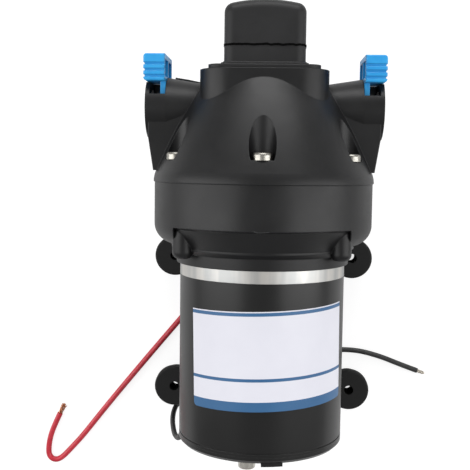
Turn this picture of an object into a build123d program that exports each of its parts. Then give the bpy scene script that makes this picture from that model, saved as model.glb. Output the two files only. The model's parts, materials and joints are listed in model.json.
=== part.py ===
from build123d import *
import os
from math import cos, pi, radians, sin, sqrt, tan

# Caravan water pump: a 12 V diaphragm pump head on a round permanent magnet motor, on four
# rubber feet, with a pressure switch on its nose and a quick-connect port on each side.
#
# Frame: X to the right, Y along the motor shaft towards the pump head, Z up from the surface
# that the feet stand on. The origin is the middle of the four foot holes, on that surface.
# A height is a distance along the shaft from the front face of the motor, positive towards
# the head. A turn is an angle about the shaft, from straight up towards the right.
# Lengths are millimetres and angles are degrees.

# Driving sizes of the whole pump
axis_height = 60.0
motor_face_y = 38.2
foot_pitch_x = 92.0
foot_pitch_y = 69.6
overrun = 3.0
slip = 0.05
press_gap = 0.02
soft_gap = 0.1

# Motor can and its aluminium front plate
can_radius = 38.0
can_wall = 1.8
can_length = 75.4
can_groove_width = 0.7
can_groove_depth = 0.35
can_groove_inset = 1.6
band_width = 5.6
plate_rear_spigot = 4.0
plate_front_spigot_radius = 20.0
plate_front_spigot = 4.0
plate_eye_radius = 6.5

# Motor end bell and the bush in it
bell_rim = 1.4
bell_chamfer = 1.5
bell_wall = 2.0
bell_skirt = 5.4
bell_skirt_wall = 1.7
bell_boss_radius = 12.0
bell_boss_drop = 3.6
bell_pad_drop = 1.6
bell_pad_inner = 29.5
bell_pad_turn = 2.0
bell_pad_sweep = 15.0
bush_wall = 3.0
bush_length = 6.8

# Shaft and its front bearing
shaft_radius = 4.0
shaft_nose = 25.6
bearing_radius = 11.0
bearing_width = 7.0
bearing_ring_wall = 2.0
bearing_ball_count = 9

# Magnets, armature and commutator
air_gap = 0.7
magnet_thickness = 7.6
magnet_length = 38.0
magnet_front = 19.0
magnet_arc = 120.0
magnet_turn = 80.0
core_front = 21.0
core_length = 34.0
slot_count = 12
slot_width = 4.2
slot_mouth = 1.6
slot_floor_radius = 12.5
tooth_tip = 2.6
coil_gap = 0.3
end_turn_length = 6.5
commutator_radius = 11.5
commutator_length = 12.0
commutator_slit = 0.6
commutator_slit_depth = 1.5

# Brush gear
brush_width = 7.0
brush_height = 6.0
brush_length = 13.0
brush_box_wall = 0.9
brush_box_start = 14.0
brush_box_length = 18.5
brush_card_thickness = 1.5
brush_card_eye = 14.0
brush_spring_wire = 0.6
brush_spring_radius = 2.3
brush_spring_turns = 5

# Two long bolts that clamp the end bell to the front plate
bolt_radius = 2.0
bolt_circle = 30.4
bolt_count = 2
bolt_turn = -9.5
bolt_head_radius = 3.8
bolt_head_height = 3.4
bolt_head_round = 1.0
bolt_washer_radius = 4.6
bolt_washer_thickness = 0.8
bolt_thread_depth = 7.0
bolt_card_gap = 0.6

# Lower housing of the pump head
seam_height = 36.6
head_radius = 50.0
collar_radius = 39.6
collar_height = 5.0
step_radius = 42.0
step_height = 7.0
step_land = 1.0
cove_radius = 48.2
cove_height = 16.6
cove_land = 0.8
drive_bore = 33.5
lower_floor = 8.0
lobe_bottom = 8.7
lobe_round = 9.0
lobe_half_gap = 38.0
rib_radius = 4.6
rib_x = 34.3
rib_z = 26.8
rib_bottom = 3.4
rib_top = 18.0
rib_round = 3.0
wall_pocket_inner = 39.8
wall_pocket_outer = 46.4
wall_pocket_bottom = 20.0

# Six screws that hold the two housings together
head_screw_circle = 44.0
head_screw_count = 6
head_screw_radius = 2.1
head_screw_clearance = 0.6
head_screw_head_radius = 4.15
head_screw_head_height = 3.3
head_screw_head_round = 1.2
head_screw_length = 27.0
head_screw_boss = 6.4
head_screw_seat = 46.5
pocket_radius = 5.7
cross_width = 1.1
cross_span = 4.2
cross_depth = 1.4

# Four screws inside the drive chamber, from the lower housing into the front plate
adapter_circle = 27.0
adapter_screw_count = 4
adapter_screw_radius = 2.0
adapter_head_radius = 3.6
adapter_head_height = 2.4
adapter_thread_depth = 7.0

# Upper housing. Its dome follows shares of its radius and of its height
dome_lip = 0.5
dome_height = 46.2
dome_start_turn = 30.0
dome_shares = ((1.000, 0.000), (0.982, 0.100), (0.863, 0.396), (0.650, 0.820), (0.536, 1.000))
block_width = 57.0
block_depth = 55.0
block_corner = 13.5
block_bottom = 70.5
block_top = 86.0
recess_radius = 37.0
recess_top = 50.4
inlet_space_inner = 15.5
inlet_space_outer = 31.0
inlet_space_bend = 60.0
inlet_space_top_outer = 27.0
inlet_space_top = 76.0
outlet_space_radius = 13.0
outlet_space_top = 79.0
switch_port_radius = 3.0
switch_recess_radius = 13.0
switch_recess_depth = 1.8

# Ports, one each side, with a slot for the sliding clip
port_height = 70.0
port_reach = 53.3
port_collar = 1.9
port_slot = 7.1
port_radius = 13.8
port_root_radius = 10.6
port_root_reach = 24.0
port_buried_reach = 18.0
port_bore = 8.0
port_bore_depth = 20.0
port_mouth_bore = 8.4
port_passage = 5.0
port_tube_wall = 2.5
slot_floor_height = 75.7
slot_ledge_drop = 6.0
collar_flat_height = 81.2
web_half_depth = 12.0
web_bottom = 41.6
web_bottom_reach = 49.6
web_top_reach = 51.9
web_root_reach = 30.0

# Port clips: a ribbed grip on a two-legged fork
clip_plate = 2.4
clip_grip_width = 9.6
clip_grip_height = 12.0
clip_depth = 28.0
clip_edge_round = 0.7
clip_outer_round = 1.5
clip_rest_gap = 0.2
clip_slide_gap = 0.1
clip_leg_outer = 9.8
clip_leg_inner = 6.8
clip_leg_inner_drop = 16.0
clip_tip_inner = 8.1
clip_tip_drop = 22.0
clip_groove = 1.1
clip_groove_depth = 0.6
clip_groove_start = 1.6
clip_groove_pitch = 2.7
clip_groove_count = 3
clip_core_height = 7.6
clip_core_rib = 1.6
clip_wall = 2.2

# Diaphragm, valve plate and valves
chamber_circle = 19.0
chamber_count = 3
chamber_turn = -90.0
chamber_radius = 12.8
chamber_depth = 6.0
diaphragm_radius = 36.7
diaphragm_thickness = 3.2
inlet_valve_circle = 22.0
inlet_valve_radius = 6.6
valve_disc_thickness = 1.2
valve_stem_radius = 1.5
valve_bead_radius = 2.2
valve_bead_height = 1.4
inlet_hole_radius = 1.1
inlet_hole_circle = 4.0
valve_hole_count = 4
outlet_valve_radius = 11.4
outlet_stem_length = 4.4
outlet_hole_radius = 1.2
outlet_hole_circle = 8.6
seal_width = 2.3
seal_height = 1.8

# Cam, its ball bearing and the wobble plate, all but the cam's disc on an axis that is tilted
# about the nod centre. A reach is a distance along that axis, behind the nod centre
tilt = 3.5
nod_centre = 38.2
cam_radius = 12.0
cam_rear = 8.4
cam_length = 5.2
cam_shoulder_radius = 9.4
cam_shoulder_length = 1.6
journal_radius = 7.5
drive_bearing_radius = 17.5
drive_bearing_width = 11.0
drive_bearing_reach = 12.5
drive_ring_wall = 2.8
drive_ball_count = 9
hub_wall = 3.4
hub_eye_radius = 9.0
web_thickness = 4.0
lobe_radius = 10.0
post_radius = 6.0
piston_radius = 9.0
piston_flange = 3.0
spigot_radius = 2.9
button_radius = 8.6
button_height = 2.6
piston_screw_radius = 1.6
piston_screw_head_radius = 3.2
piston_screw_head_height = 1.7
piston_screw_length = 11.0
set_screw_radius = 2.5
set_screw_length = 7.0

# Pressure switch: its base, plunger, spring, snap switch and cover
foot_width = 49.0
foot_depth = 51.0
foot_corner = 6.0
foot_height = 1.8
neck_width = 35.8
neck_depth = 41.6
neck_corner = 4.5
neck_height = 10.6
neck_flare = 1.4
neck_flare_height = 1.2
neck_wall = 3.4
neck_lip_height = 2.4
neck_lip_wall = 1.4
neck_floor = 6.0
neck_inner_corner = 1.5
gusset_width = 2.4
gusset_height = 2.1
gusset_thickness = 2.0
gusset_spread = 15.0
switch_screw_x = 10.8
switch_screw_z = 13.6
switch_screw_radius = 1.7
switch_screw_head_radius = 3.2
switch_screw_head_height = 2.2
switch_screw_length = 14.0
barrel_bore = 8.5
barrel_wall = 2.5
barrel_top = 11.3
plunger_radius = 8.3
plunger_flange = 2.2
plunger_stem_radius = 2.5
plunger_top = 12.3
spring_wire = 1.2
spring_radius = 5.6
spring_turns = 4
collar_nut_height = 2.0
cover_height = 21.8
cover_wall = 2.0
cover_dome_radius = 70.0
cover_edge_round = 4.2
microswitch_width = 20.0
microswitch_depth = 6.4
microswitch_height = 10.0
microswitch_gap = 1.2
bracket_thickness = 2.0
bracket_depth = 8.0
bracket_height = 7.0
button_tip_radius = 1.2
button_tip_hidden = 1.0
button_hole_depth = 2.4
terminal_width = 3.2
terminal_thickness = 0.6
terminal_height = 3.0
terminal_spread = 6.5

# Base plate and rubber feet
foot_radius = 10.4
foot_base_radius = 8.6
foot_total = 14.0
foot_lower = 6.5
foot_neck_radius = 5.0
foot_bore = 2.4
foot_round = 0.9
base_thickness = 2.0
base_ear_radius = 8.4
base_half_width = 38.0
base_front = 1.0
base_rear = 77.0
saddle_half_width = 16.0
saddle_front = 8.0
saddle_rear = 70.0
saddle_leg_foot = 24.0
base_screw_radius = 2.5
base_screw_head_radius = 4.4
base_screw_head_height = 2.6
base_screw_front = 22.0
base_screw_pitch = 34.0
base_screw_reach = 4.4

# Rating label, a thin plain plate wrapped round the can
label_width = 64.6
label_length = 43.4
label_centre_x = 3.1
label_centre_drop = 38.9
label_tilt = 2.3
label_thickness = 0.2

# Leads, bare at their ends, and their grommets
red_wire = 3.0
black_wire = 2.7
grommet_flange_rim = 1.15
grommet_flange = 1.0
grommet_nose_rim = 0.5
grommet_nose_length = 2.0
grommet_neck_rim = 0.4
lead_straight = 4.0
black_exit_turn = -125.0
black_exit_drop = 66.0
red_exit_x = 6.0
red_exit_rise = 7.85
bare_length = 6.4
strand_radius = 0.25
strand_count = 5
strand_lean = 4.0
strand_root = 0.8
tip_radius = 0.9
tip_length = 4.2
bend_share = 0.45

# The leads' routes, as points of the pump's frame, from the grommet to the bare end
red_route = [
    (6.0, 131.0, 26.5), (5.7, 125.0, 17.0), (5.0, 114.5, 9.5), (3.9, 101.0, 4.0),
    (2.0, 87.0, 1.5), (-1.5, 72.0, 1.5), (-7.0, 55.0, 1.5), (-15.5, 36.5, 1.5),
    (-28.5, 18.2, 1.5), (-44.9, -1.7, 1.5), (-60.6, -20.6, 1.5), (-76.4, -40.0, 1.5),
    (-88.0, -54.6, 1.5), (-97.2, -66.6, 1.5), (-104.3, -74.6, 1.5), (-109.9, -80.5, 1.5),
    (-113.9, -81.3, 1.5), (-116.7, -78.6, 1.5), (-116.6, -73.0, 1.5), (-115.4, -67.0, 1.5),
    (-112.9, -60.6, 1.5), (-110.2, -54.9, 1.5),
]
black_route = [
    (-39.5, -33.0, 33.0), (-39.3, -40.0, 35.5), (-38.6, -46.0, 39.0), (-39.0, -52.0, 40.2),
    (-41.2, -56.0, 36.0), (-43.8, -56.0, 29.5), (-45.6, -54.8, 21.0), (-46.9, -53.2, 13.0),
    (-47.0, -50.4, 6.5), (-45.6, -47.5, 2.4), (-40.0, -46.0, 1.35), (-34.0, -43.6, 1.35),
    (-27.0, -39.6, 1.35), (-15.0, -34.2, 1.35), (0.5, -27.6, 1.35), (18.5, -20.9, 1.35),
    (34.5, -16.4, 1.35), (49.5, -15.7, 1.35), (63.0, -18.9, 1.35), (74.5, -23.4, 1.35),
    (83.4, -26.5, 1.35),
]

# Heights and radii that several pieces share
can_front = -band_width
can_rear = can_front - can_length
can_bore = can_radius - can_wall
bell_rear = can_rear - bell_rim - bell_chamfer
magnet_inner = can_bore - soft_gap - magnet_thickness
core_radius = magnet_inner - air_gap
core_rear = -core_front - core_length
commutator_front = core_rear - end_turn_length - coil_gap
commutator_rear = commutator_front - commutator_length
card_rear = can_rear + bell_skirt + press_gap
card_front = card_rear + brush_card_thickness
brush_mid = card_front + brush_box_wall + brush_height / 2
brush_tip = commutator_radius + slip
valve_low = seam_height + diaphragm_thickness
valve_top = recess_top - slip
valve_radius = recess_radius - slip
chamber_top = valve_low + chamber_depth
neck_base = block_top + foot_height
neck_top = block_top + neck_height
switch_screw_seat = block_top + neck_floor
barrel_height = block_top + barrel_top
plunger_height = block_top + plunger_top
plunger_seat = block_top + plunger_flange
spring_top = barrel_height - collar_nut_height
microswitch_low = plunger_height + microswitch_gap
slot_inner = port_reach - port_collar - port_slot
clip_inner = slot_inner + clip_slide_gap
clip_low = collar_flat_height + clip_rest_gap - port_height
saddle_inner = can_radius + slip
saddle_outer = saddle_inner + base_thickness
shaft_line = Axis((0, motor_face_y, axis_height), (0, 1, 0))
port_line = Axis((0, motor_face_y + port_height, axis_height), (1, 0, 0))
nod_point = Vector(0, motor_face_y + nod_centre, axis_height)
drive_direction = Vector(0, cos(radians(tilt)), sin(radians(tilt)))


def across(height):
    """Plane square to the shaft: local x is X, local y is down, its normal points to the head."""
    return Plane((0, motor_face_y + height, axis_height), x_dir=(1, 0, 0), z_dir=(0, 1, 0))


def along(turn=90.0):
    """Plane through the shaft: local x points away from it at a turn, local y is the height."""
    east, up = sin(radians(turn)), cos(radians(turn))
    return Plane((0, motor_face_y, axis_height), x_dir=(east, 0, up), z_dir=(-up, 0, east))


def outward(turn, radius, height):
    """Plane whose normal points straight away from the shaft."""
    east, up = sin(radians(turn)), cos(radians(turn))
    spot = (radius * east, motor_face_y + height, axis_height + radius * up)
    return Plane(spot, x_dir=(0, 1, 0), z_dir=(east, 0, up))


def port_side(side):
    """Plane through the ports' axis: local x points out of one port, local y to the head."""
    middle = (0, motor_face_y + port_height, axis_height)
    return Plane(middle, x_dir=(side, 0, 0), z_dir=(0, 0, side))


def port_mouth(side, reach):
    """Plane square to the ports' axis: local x points to the head, its normal out of the port."""
    spot = (side * reach, motor_face_y + port_height, axis_height)
    return Plane(spot, x_dir=(0, 1, 0), z_dir=(side, 0, 0))


def drive(reach):
    """Plane square to the tilted axis, at a reach behind the nod centre."""
    return Plane(nod_point - drive_direction * reach, x_dir=(1, 0, 0), z_dir=drive_direction)


def section(points, plane=None):
    """Face inside a closed outline of points, (distance from the shaft, height)."""
    with BuildSketch(plane or along()) as outline:
        with BuildLine():
            Polyline(*points, close=True)
        make_face()
    return outline.sketch


def ring(inner, outer, low, high, plane=None):
    """Half section of a plain ring, or of a disc where inner is zero."""
    return section([(inner, low), (outer, low), (outer, high), (inner, high)], plane)


def head_screws_around():
    return PolarLocations(head_screw_circle, head_screw_count, start_angle=90)


def adapter_screws_around():
    return PolarLocations(adapter_circle, adapter_screw_count, start_angle=45)


def bolts_around():
    return PolarLocations(bolt_circle, bolt_count, start_angle=bolt_turn - 90)


def chambers_around(radius):
    return PolarLocations(radius, chamber_count, start_angle=chamber_turn)


def switch_screws_around():
    return GridLocations(2 * switch_screw_x, 2 * switch_screw_z, 2, 2)


def feet_around():
    return GridLocations(foot_pitch_x, foot_pitch_y, 2, 2)


def draw_clip_legs(gap):
    """Both legs of a clip's fork in the open sketch, grown by a gap: their tips stand wider."""
    for half in (-1, 1):
        for drop, inner in ((clip_leg_inner_drop, clip_leg_inner), (clip_tip_drop, clip_tip_inner)):
            end, near, far = clip_low - drop - gap, inner - gap, clip_leg_outer + gap
            with Locations(((clip_low + end) / 2, half * (near + far) / 2)):
                Rectangle(clip_low - end, far - near)


# Lower housing: a moulded cup on the motor, with the bored chamber that the drive works in
with BuildPart() as side_lobes:
    with BuildSketch(along()):
        with BuildLine():
            lobe_floor = Line((drive_bore, lobe_bottom), (head_radius - lobe_round, lobe_bottom))
            lobe_corner = RadiusArc(
                lobe_floor @ 1, (head_radius, lobe_bottom + lobe_round), -lobe_round
            )
            Polyline(
                lobe_corner @ 1, (head_radius, wall_pocket_bottom),
                (drive_bore, wall_pocket_bottom), lobe_floor @ 0,
            )
        make_face()
    revolve(axis=shaft_line)
    with BuildSketch(across(0)):
        Rectangle(2 * lobe_half_gap, 2 * head_radius + overrun)
    extrude(amount=seam_height, mode=Mode.SUBTRACT)

with BuildPart() as rounded_ribs:
    with BuildSketch(across(rib_bottom)):
        with GridLocations(2 * rib_x, 2 * rib_z, 2, 2):
            Circle(rib_radius)
    extrude(amount=rib_top - rib_bottom)
    fillet(rounded_ribs.edges().group_by(Axis.Y)[0], rib_round)

with BuildPart() as lower_housing:
    revolve(section([
        (plate_front_spigot_radius + slip, 0), (collar_radius, 0),
        (collar_radius, collar_height), (step_radius, step_height),
        (step_radius, step_height + step_land), (cove_radius, cove_height),
        (head_radius, cove_height + cove_land), (head_radius, seam_height),
        (drive_bore, seam_height), (drive_bore, lower_floor),
        (plate_front_spigot_radius + slip, lower_floor),
    ]), axis=shaft_line)
    add(side_lobes.part)
    add(rounded_ribs.part)
    with BuildSketch(across(wall_pocket_bottom)):
        Circle(wall_pocket_outer)
        Circle(wall_pocket_inner, mode=Mode.SUBTRACT)
        with head_screws_around():
            Circle(head_screw_boss, mode=Mode.SUBTRACT)
    extrude(amount=seam_height - wall_pocket_bottom, mode=Mode.SUBTRACT)
    with BuildSketch(across(head_screw_seat - head_screw_length)):
        with head_screws_around():
            Circle(head_screw_radius + slip)
    extrude(amount=head_screw_length, mode=Mode.SUBTRACT)
    with BuildSketch(across(0)):
        with adapter_screws_around():
            Circle(adapter_screw_radius + slip)
    extrude(amount=lower_floor, mode=Mode.SUBTRACT)

# Upper housing: a dome with six screw pockets, a square block for the switch and two ports
with BuildPart() as inlet_space:
    revolve(section([
        (inlet_space_inner, recess_top), (inlet_space_outer, recess_top),
        (inlet_space_outer, inlet_space_bend), (inlet_space_top_outer, inlet_space_top),
        (inlet_space_inner, inlet_space_top),
    ]), axis=shaft_line)
    with BuildSketch(port_mouth(1, outlet_space_radius)):
        Circle(port_passage + port_tube_wall)
    extrude(amount=inlet_space_outer, mode=Mode.SUBTRACT)

with BuildPart() as upper_housing:
    with BuildSketch(along(dome_start_turn)):
        with BuildLine():
            dome_radius = head_radius + dome_lip
            dome_top = seam_height + dome_height
            skin = [
                (dome_radius * wide, seam_height + dome_height * tall)
                for wide, tall in dome_shares
            ]
            lip = TangentArc(skin[0], skin[1], tangent=(0, 1))
            shoulder = TangentArc(lip @ 1, skin[2], tangent=lip % 1)
            flank = TangentArc(shoulder @ 1, skin[3], tangent=shoulder % 1)
            Polyline(flank @ 1, skin[4], (0, dome_top), (0, seam_height), lip @ 0)
        make_face()
    revolve(axis=shaft_line)
    with BuildSketch(across(block_bottom)):
        RectangleRounded(block_width, block_depth, block_corner)
    extrude(amount=block_top - block_bottom)
    for side in (-1, 1):
        revolve(section([
            (port_buried_reach, 0), (port_buried_reach, port_root_radius),
            (port_root_reach, port_root_radius), (slot_inner, port_radius),
            (port_reach, port_radius), (port_reach, 0),
        ], port_side(side)), axis=port_line)
        extrude(section([
            (web_root_reach, web_bottom - port_height),
            (web_bottom_reach, web_bottom - port_height),
            (web_top_reach, -port_radius), (web_top_reach, 0), (web_root_reach, 0),
        ], port_side(side)), amount=web_half_depth, both=True)
    with BuildSketch(across(head_screw_seat)):
        with head_screws_around():
            Circle(pocket_radius)
    extrude(amount=block_top - head_screw_seat, mode=Mode.SUBTRACT)
    with BuildSketch(across(seam_height)):
        with head_screws_around():
            Circle(head_screw_radius + head_screw_clearance)
        Circle(recess_radius)
    extrude(amount=head_screw_seat - seam_height, mode=Mode.SUBTRACT)
    with BuildSketch(across(head_screw_seat)):
        Circle(recess_radius)
    extrude(amount=recess_top - head_screw_seat, mode=Mode.SUBTRACT)
    add(inlet_space.part, mode=Mode.SUBTRACT)
    with BuildSketch(across(recess_top)):
        Circle(outlet_space_radius)
    extrude(amount=outlet_space_top - recess_top, mode=Mode.SUBTRACT)
    with BuildSketch(across(outlet_space_top)):
        Circle(switch_port_radius)
    extrude(amount=block_top - outlet_space_top, mode=Mode.SUBTRACT)
    with BuildSketch(across(block_top - switch_recess_depth)):
        Circle(switch_recess_radius + soft_gap)
    extrude(amount=switch_recess_depth, mode=Mode.SUBTRACT)
    with BuildSketch(across(switch_screw_seat - switch_screw_length)):
        with switch_screws_around():
            Circle(switch_screw_radius + slip)
    extrude(amount=switch_screw_length, mode=Mode.SUBTRACT)
    for side, space_wall in ((-1, inlet_space_top_outer), (1, outlet_space_radius)):
        bore_end = port_reach - port_bore_depth
        with BuildSketch(port_mouth(side, bore_end)):
            Circle(port_bore)
        extrude(amount=slot_inner - bore_end, mode=Mode.SUBTRACT)
        with BuildSketch(port_mouth(side, slot_inner)):
            Circle(port_mouth_bore)
        extrude(amount=port_reach - slot_inner, mode=Mode.SUBTRACT)
        with BuildSketch(port_mouth(side, bore_end)):
            Circle(port_passage)
        extrude(amount=space_wall - port_passage - bore_end, mode=Mode.SUBTRACT)
        slot_span = slot_ledge_drop + port_radius + overrun
        slot_middle = side * (slot_span / 2 - slot_ledge_drop)
        with BuildSketch(port_mouth(side, slot_inner)):
            with Locations((slot_floor_height - port_height + port_radius / 2, slot_middle)):
                Rectangle(port_radius, slot_span)
        extrude(amount=port_slot, mode=Mode.SUBTRACT)
        with BuildSketch(port_mouth(side, slot_inner)):
            with Locations((collar_flat_height - port_height + port_radius / 2, 0)):
                Rectangle(port_radius, 2 * port_radius + overrun)
        extrude(amount=port_slot + port_collar, mode=Mode.SUBTRACT)
        with BuildSketch(port_mouth(side, slot_inner)):
            draw_clip_legs(clip_slide_gap)
        extrude(amount=clip_plate + 2 * clip_slide_gap, mode=Mode.SUBTRACT)


def port_clip(side):
    """Sliding clip: a grip with grooves and two cored recesses, on a fork with two legs."""
    clip_width = side * (clip_inner + clip_grip_width / 2)
    grip_rear = port_height + clip_low
    with BuildPart() as clip:
        with BuildSketch(across(grip_rear)):
            with Locations((clip_width, 0)):
                Rectangle(clip_grip_width, clip_depth)
        extrude(amount=clip_grip_height)
        outer_edges = clip.edges().filter_by(Axis.Z).sort_by(Axis.X)
        fillet(outer_edges[-2:] if side > 0 else outer_edges[:2], clip_outer_round)
        fillet(clip.edges().filter_by(Axis.Y), clip_edge_round)
        with BuildSketch(port_mouth(side, clip_inner)):
            draw_clip_legs(0)
        extrude(amount=clip_plate)
        with BuildSketch(port_mouth(side, clip_inner)):
            core_width = (clip_depth - 2 * clip_wall - clip_core_rib) / 2
            core_middle = clip_low + clip_grip_height / 2
            for half in (-1, 1):
                with Locations((core_middle, half * (clip_core_rib + core_width) / 2)):
                    Rectangle(clip_core_height, core_width)
        extrude(amount=clip_grip_width - clip_wall, mode=Mode.SUBTRACT)
        for groove in range(clip_groove_count):
            low = grip_rear + clip_groove_start + groove * clip_groove_pitch
            with BuildSketch(across(low)):
                with Locations((clip_width + side * overrun, 0)):
                    Rectangle(clip_grip_width + 2 * overrun, clip_depth + overrun)
                with Locations((clip_width - side * (clip_groove_depth + overrun) / 2, 0)):
                    Rectangle(
                        clip_grip_width + overrun - clip_groove_depth,
                        clip_depth - 2 * clip_groove_depth, mode=Mode.SUBTRACT,
                    )
            extrude(amount=clip_groove, mode=Mode.SUBTRACT)
    return clip


left_clip = port_clip(-1)
right_clip = port_clip(1)


def cut_crosses(plane, spots):
    """Cross recesses of screw heads, as solids that start at the recess floor."""
    with BuildPart() as crosses:
        with BuildSketch(plane):
            with spots:
                Rectangle(cross_span, cross_width)
                Rectangle(cross_width, cross_span)
        extrude(amount=cross_depth + overrun)
    return crosses.part


# Head screws: long, pan headed, down from the pockets into the lower housing
with BuildPart() as head_screws:
    with BuildSketch(across(head_screw_seat)):
        with head_screws_around():
            Circle(head_screw_head_radius)
    extrude(amount=head_screw_head_height)
    fillet(head_screws.edges().group_by(Axis.Y)[-1], head_screw_head_round)
    with BuildSketch(across(head_screw_seat)):
        with head_screws_around():
            Circle(head_screw_radius)
    extrude(amount=slip - head_screw_length)
    head_screw_top = head_screw_seat + head_screw_head_height
    add(cut_crosses(across(head_screw_top - cross_depth), head_screws_around()), mode=Mode.SUBTRACT)

# Adapter screws: from the floor of the drive chamber into the front plate
with BuildPart() as adapter_screws:
    with BuildSketch(across(lower_floor)):
        with adapter_screws_around():
            Circle(adapter_head_radius)
    extrude(amount=adapter_head_height)
    with BuildSketch(across(lower_floor)):
        with adapter_screws_around():
            Circle(adapter_screw_radius)
    extrude(amount=slip - lower_floor - adapter_thread_depth)
    adapter_top = lower_floor + adapter_head_height
    add(cut_crosses(across(adapter_top - cross_depth), adapter_screws_around()), mode=Mode.SUBTRACT)

# Valve plate: three working chambers, each with inlet holes, outlet holes and a valve seat
with BuildPart() as valve_plate:
    revolve(ring(0, valve_radius, valve_low, valve_top), axis=shaft_line)
    with BuildSketch(across(valve_low)):
        with chambers_around(chamber_circle):
            Circle(chamber_radius)
    extrude(amount=chamber_depth, mode=Mode.SUBTRACT)
    with BuildSketch(across(chamber_top)):
        with chambers_around(inlet_valve_circle):
            Circle(valve_stem_radius + slip)
            with PolarLocations(inlet_hole_circle, valve_hole_count):
                Circle(inlet_hole_radius)
        with chambers_around(outlet_hole_circle):
            Circle(outlet_hole_radius)
    extrude(amount=valve_top - chamber_top, mode=Mode.SUBTRACT)
    with BuildSketch(across(valve_top - outlet_stem_length)):
        Circle(valve_stem_radius + slip)
    extrude(amount=outlet_stem_length, mode=Mode.SUBTRACT)
    with BuildSketch(across(valve_top - seal_height)):
        Circle(valve_radius)
        Circle(valve_radius - seal_width, mode=Mode.SUBTRACT)
        Circle(inlet_space_inner)
        Circle(outlet_space_radius, mode=Mode.SUBTRACT)
    extrude(amount=seal_height, mode=Mode.SUBTRACT)

# Two rubber rings in the valve plate's upper face, which the upper housing presses on
seal_low = valve_top - seal_height
with BuildPart() as valve_plate_seal:
    seal_ring = (valve_radius - seal_width + slip, valve_radius - slip)
    revolve(ring(*seal_ring, seal_low, recess_top), axis=shaft_line)
with BuildPart() as outlet_seal:
    seal_ring = (outlet_space_radius + slip, inlet_space_inner - slip)
    revolve(ring(*seal_ring, seal_low, recess_top), axis=shaft_line)

# Rubber valves: an umbrella in the roof of each chamber and one wide outlet disc
with BuildPart() as inlet_valves:
    with BuildSketch(across(chamber_top)):
        with chambers_around(inlet_valve_circle):
            Circle(inlet_valve_radius)
    extrude(amount=-valve_disc_thickness)
    with BuildSketch(across(chamber_top)):
        with chambers_around(inlet_valve_circle):
            Circle(valve_stem_radius)
    extrude(amount=valve_top - chamber_top + valve_bead_height)
    with BuildSketch(across(valve_top)):
        with chambers_around(inlet_valve_circle):
            Circle(valve_bead_radius)
    extrude(amount=valve_bead_height)
with BuildPart() as outlet_valve:
    revolve(section([
        (0, valve_top - outlet_stem_length + slip),
        (valve_stem_radius, valve_top - outlet_stem_length + slip),
        (valve_stem_radius, valve_top), (outlet_valve_radius, valve_top),
        (outlet_valve_radius, valve_top + valve_disc_thickness / 2),
        (valve_bead_radius, valve_top + valve_disc_thickness),
        (0, valve_top + valve_disc_thickness),
    ]), axis=shaft_line)

# Diaphragm: one rubber disc, clamped at its rim, hollowed where the tilted pistons press it
half_rubber = diaphragm_thickness / 2
with BuildPart() as diaphragm:
    revolve(ring(0, diaphragm_radius, seam_height, valve_low), axis=shaft_line)
    with BuildSketch(drive(half_rubber + piston_flange)):
        with chambers_around(chamber_circle):
            Circle(piston_radius + soft_gap)
    extrude(amount=piston_flange + slip, mode=Mode.SUBTRACT)
    with BuildSketch(drive(slip - half_rubber)):
        with chambers_around(chamber_circle):
            Circle(button_radius + soft_gap)
    extrude(amount=button_height, mode=Mode.SUBTRACT)
    with BuildSketch(drive(half_rubber)):
        with chambers_around(chamber_circle):
            Circle(spigot_radius + soft_gap)
    extrude(amount=diaphragm_thickness, mode=Mode.SUBTRACT)

# Wobble plate: a hub round the bearing, three lobes, and a piston on each lobe
web_front = drive_bearing_reach - web_thickness
with BuildPart() as wobble_plate:
    with BuildSketch(drive(drive_bearing_reach + drive_bearing_width)):
        Circle(drive_bearing_radius + press_gap + hub_wall)
        Circle(drive_bearing_radius + press_gap, mode=Mode.SUBTRACT)
    extrude(amount=drive_bearing_width)
    with BuildSketch(drive(drive_bearing_reach)):
        Circle(drive_bearing_radius + press_gap + hub_wall)
        with chambers_around(chamber_circle):
            Circle(lobe_radius)
        Circle(hub_eye_radius, mode=Mode.SUBTRACT)
    extrude(amount=web_thickness)
    with BuildSketch(drive(web_front)):
        with chambers_around(chamber_circle):
            Circle(post_radius)
    extrude(amount=web_front - half_rubber)
    with BuildSketch(drive(half_rubber + piston_flange)):
        with chambers_around(chamber_circle):
            Circle(piston_radius)
    extrude(amount=piston_flange)
    with BuildSketch(drive(half_rubber)):
        with chambers_around(chamber_circle):
            Circle(spigot_radius)
    extrude(amount=diaphragm_thickness)
    with BuildSketch(drive(-half_rubber)):
        with chambers_around(chamber_circle):
            Circle(piston_screw_radius + press_gap)
    extrude(amount=-piston_screw_length, mode=Mode.SUBTRACT)

# Piston buttons clamp the diaphragm from the water side, each with one countersunk screw
with BuildPart() as piston_buttons:
    with BuildSketch(drive(-half_rubber)):
        with chambers_around(chamber_circle):
            Circle(button_radius)
            Circle(piston_screw_radius + slip, mode=Mode.SUBTRACT)
    extrude(amount=button_height)
    with BuildSketch(drive(piston_screw_head_height - half_rubber - button_height)):
        with chambers_around(chamber_circle):
            Circle(piston_screw_head_radius + slip)
    extrude(amount=piston_screw_head_height, mode=Mode.SUBTRACT)
with BuildPart() as piston_screws:
    screw_seat = piston_screw_head_height - half_rubber - button_height
    with BuildSketch(drive(screw_seat)):
        with chambers_around(chamber_circle):
            Circle(piston_screw_head_radius)
    extrude(amount=piston_screw_head_height)
    with BuildSketch(drive(screw_seat)):
        with chambers_around(chamber_circle):
            Circle(piston_screw_radius)
    extrude(amount=-piston_screw_length)

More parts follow.
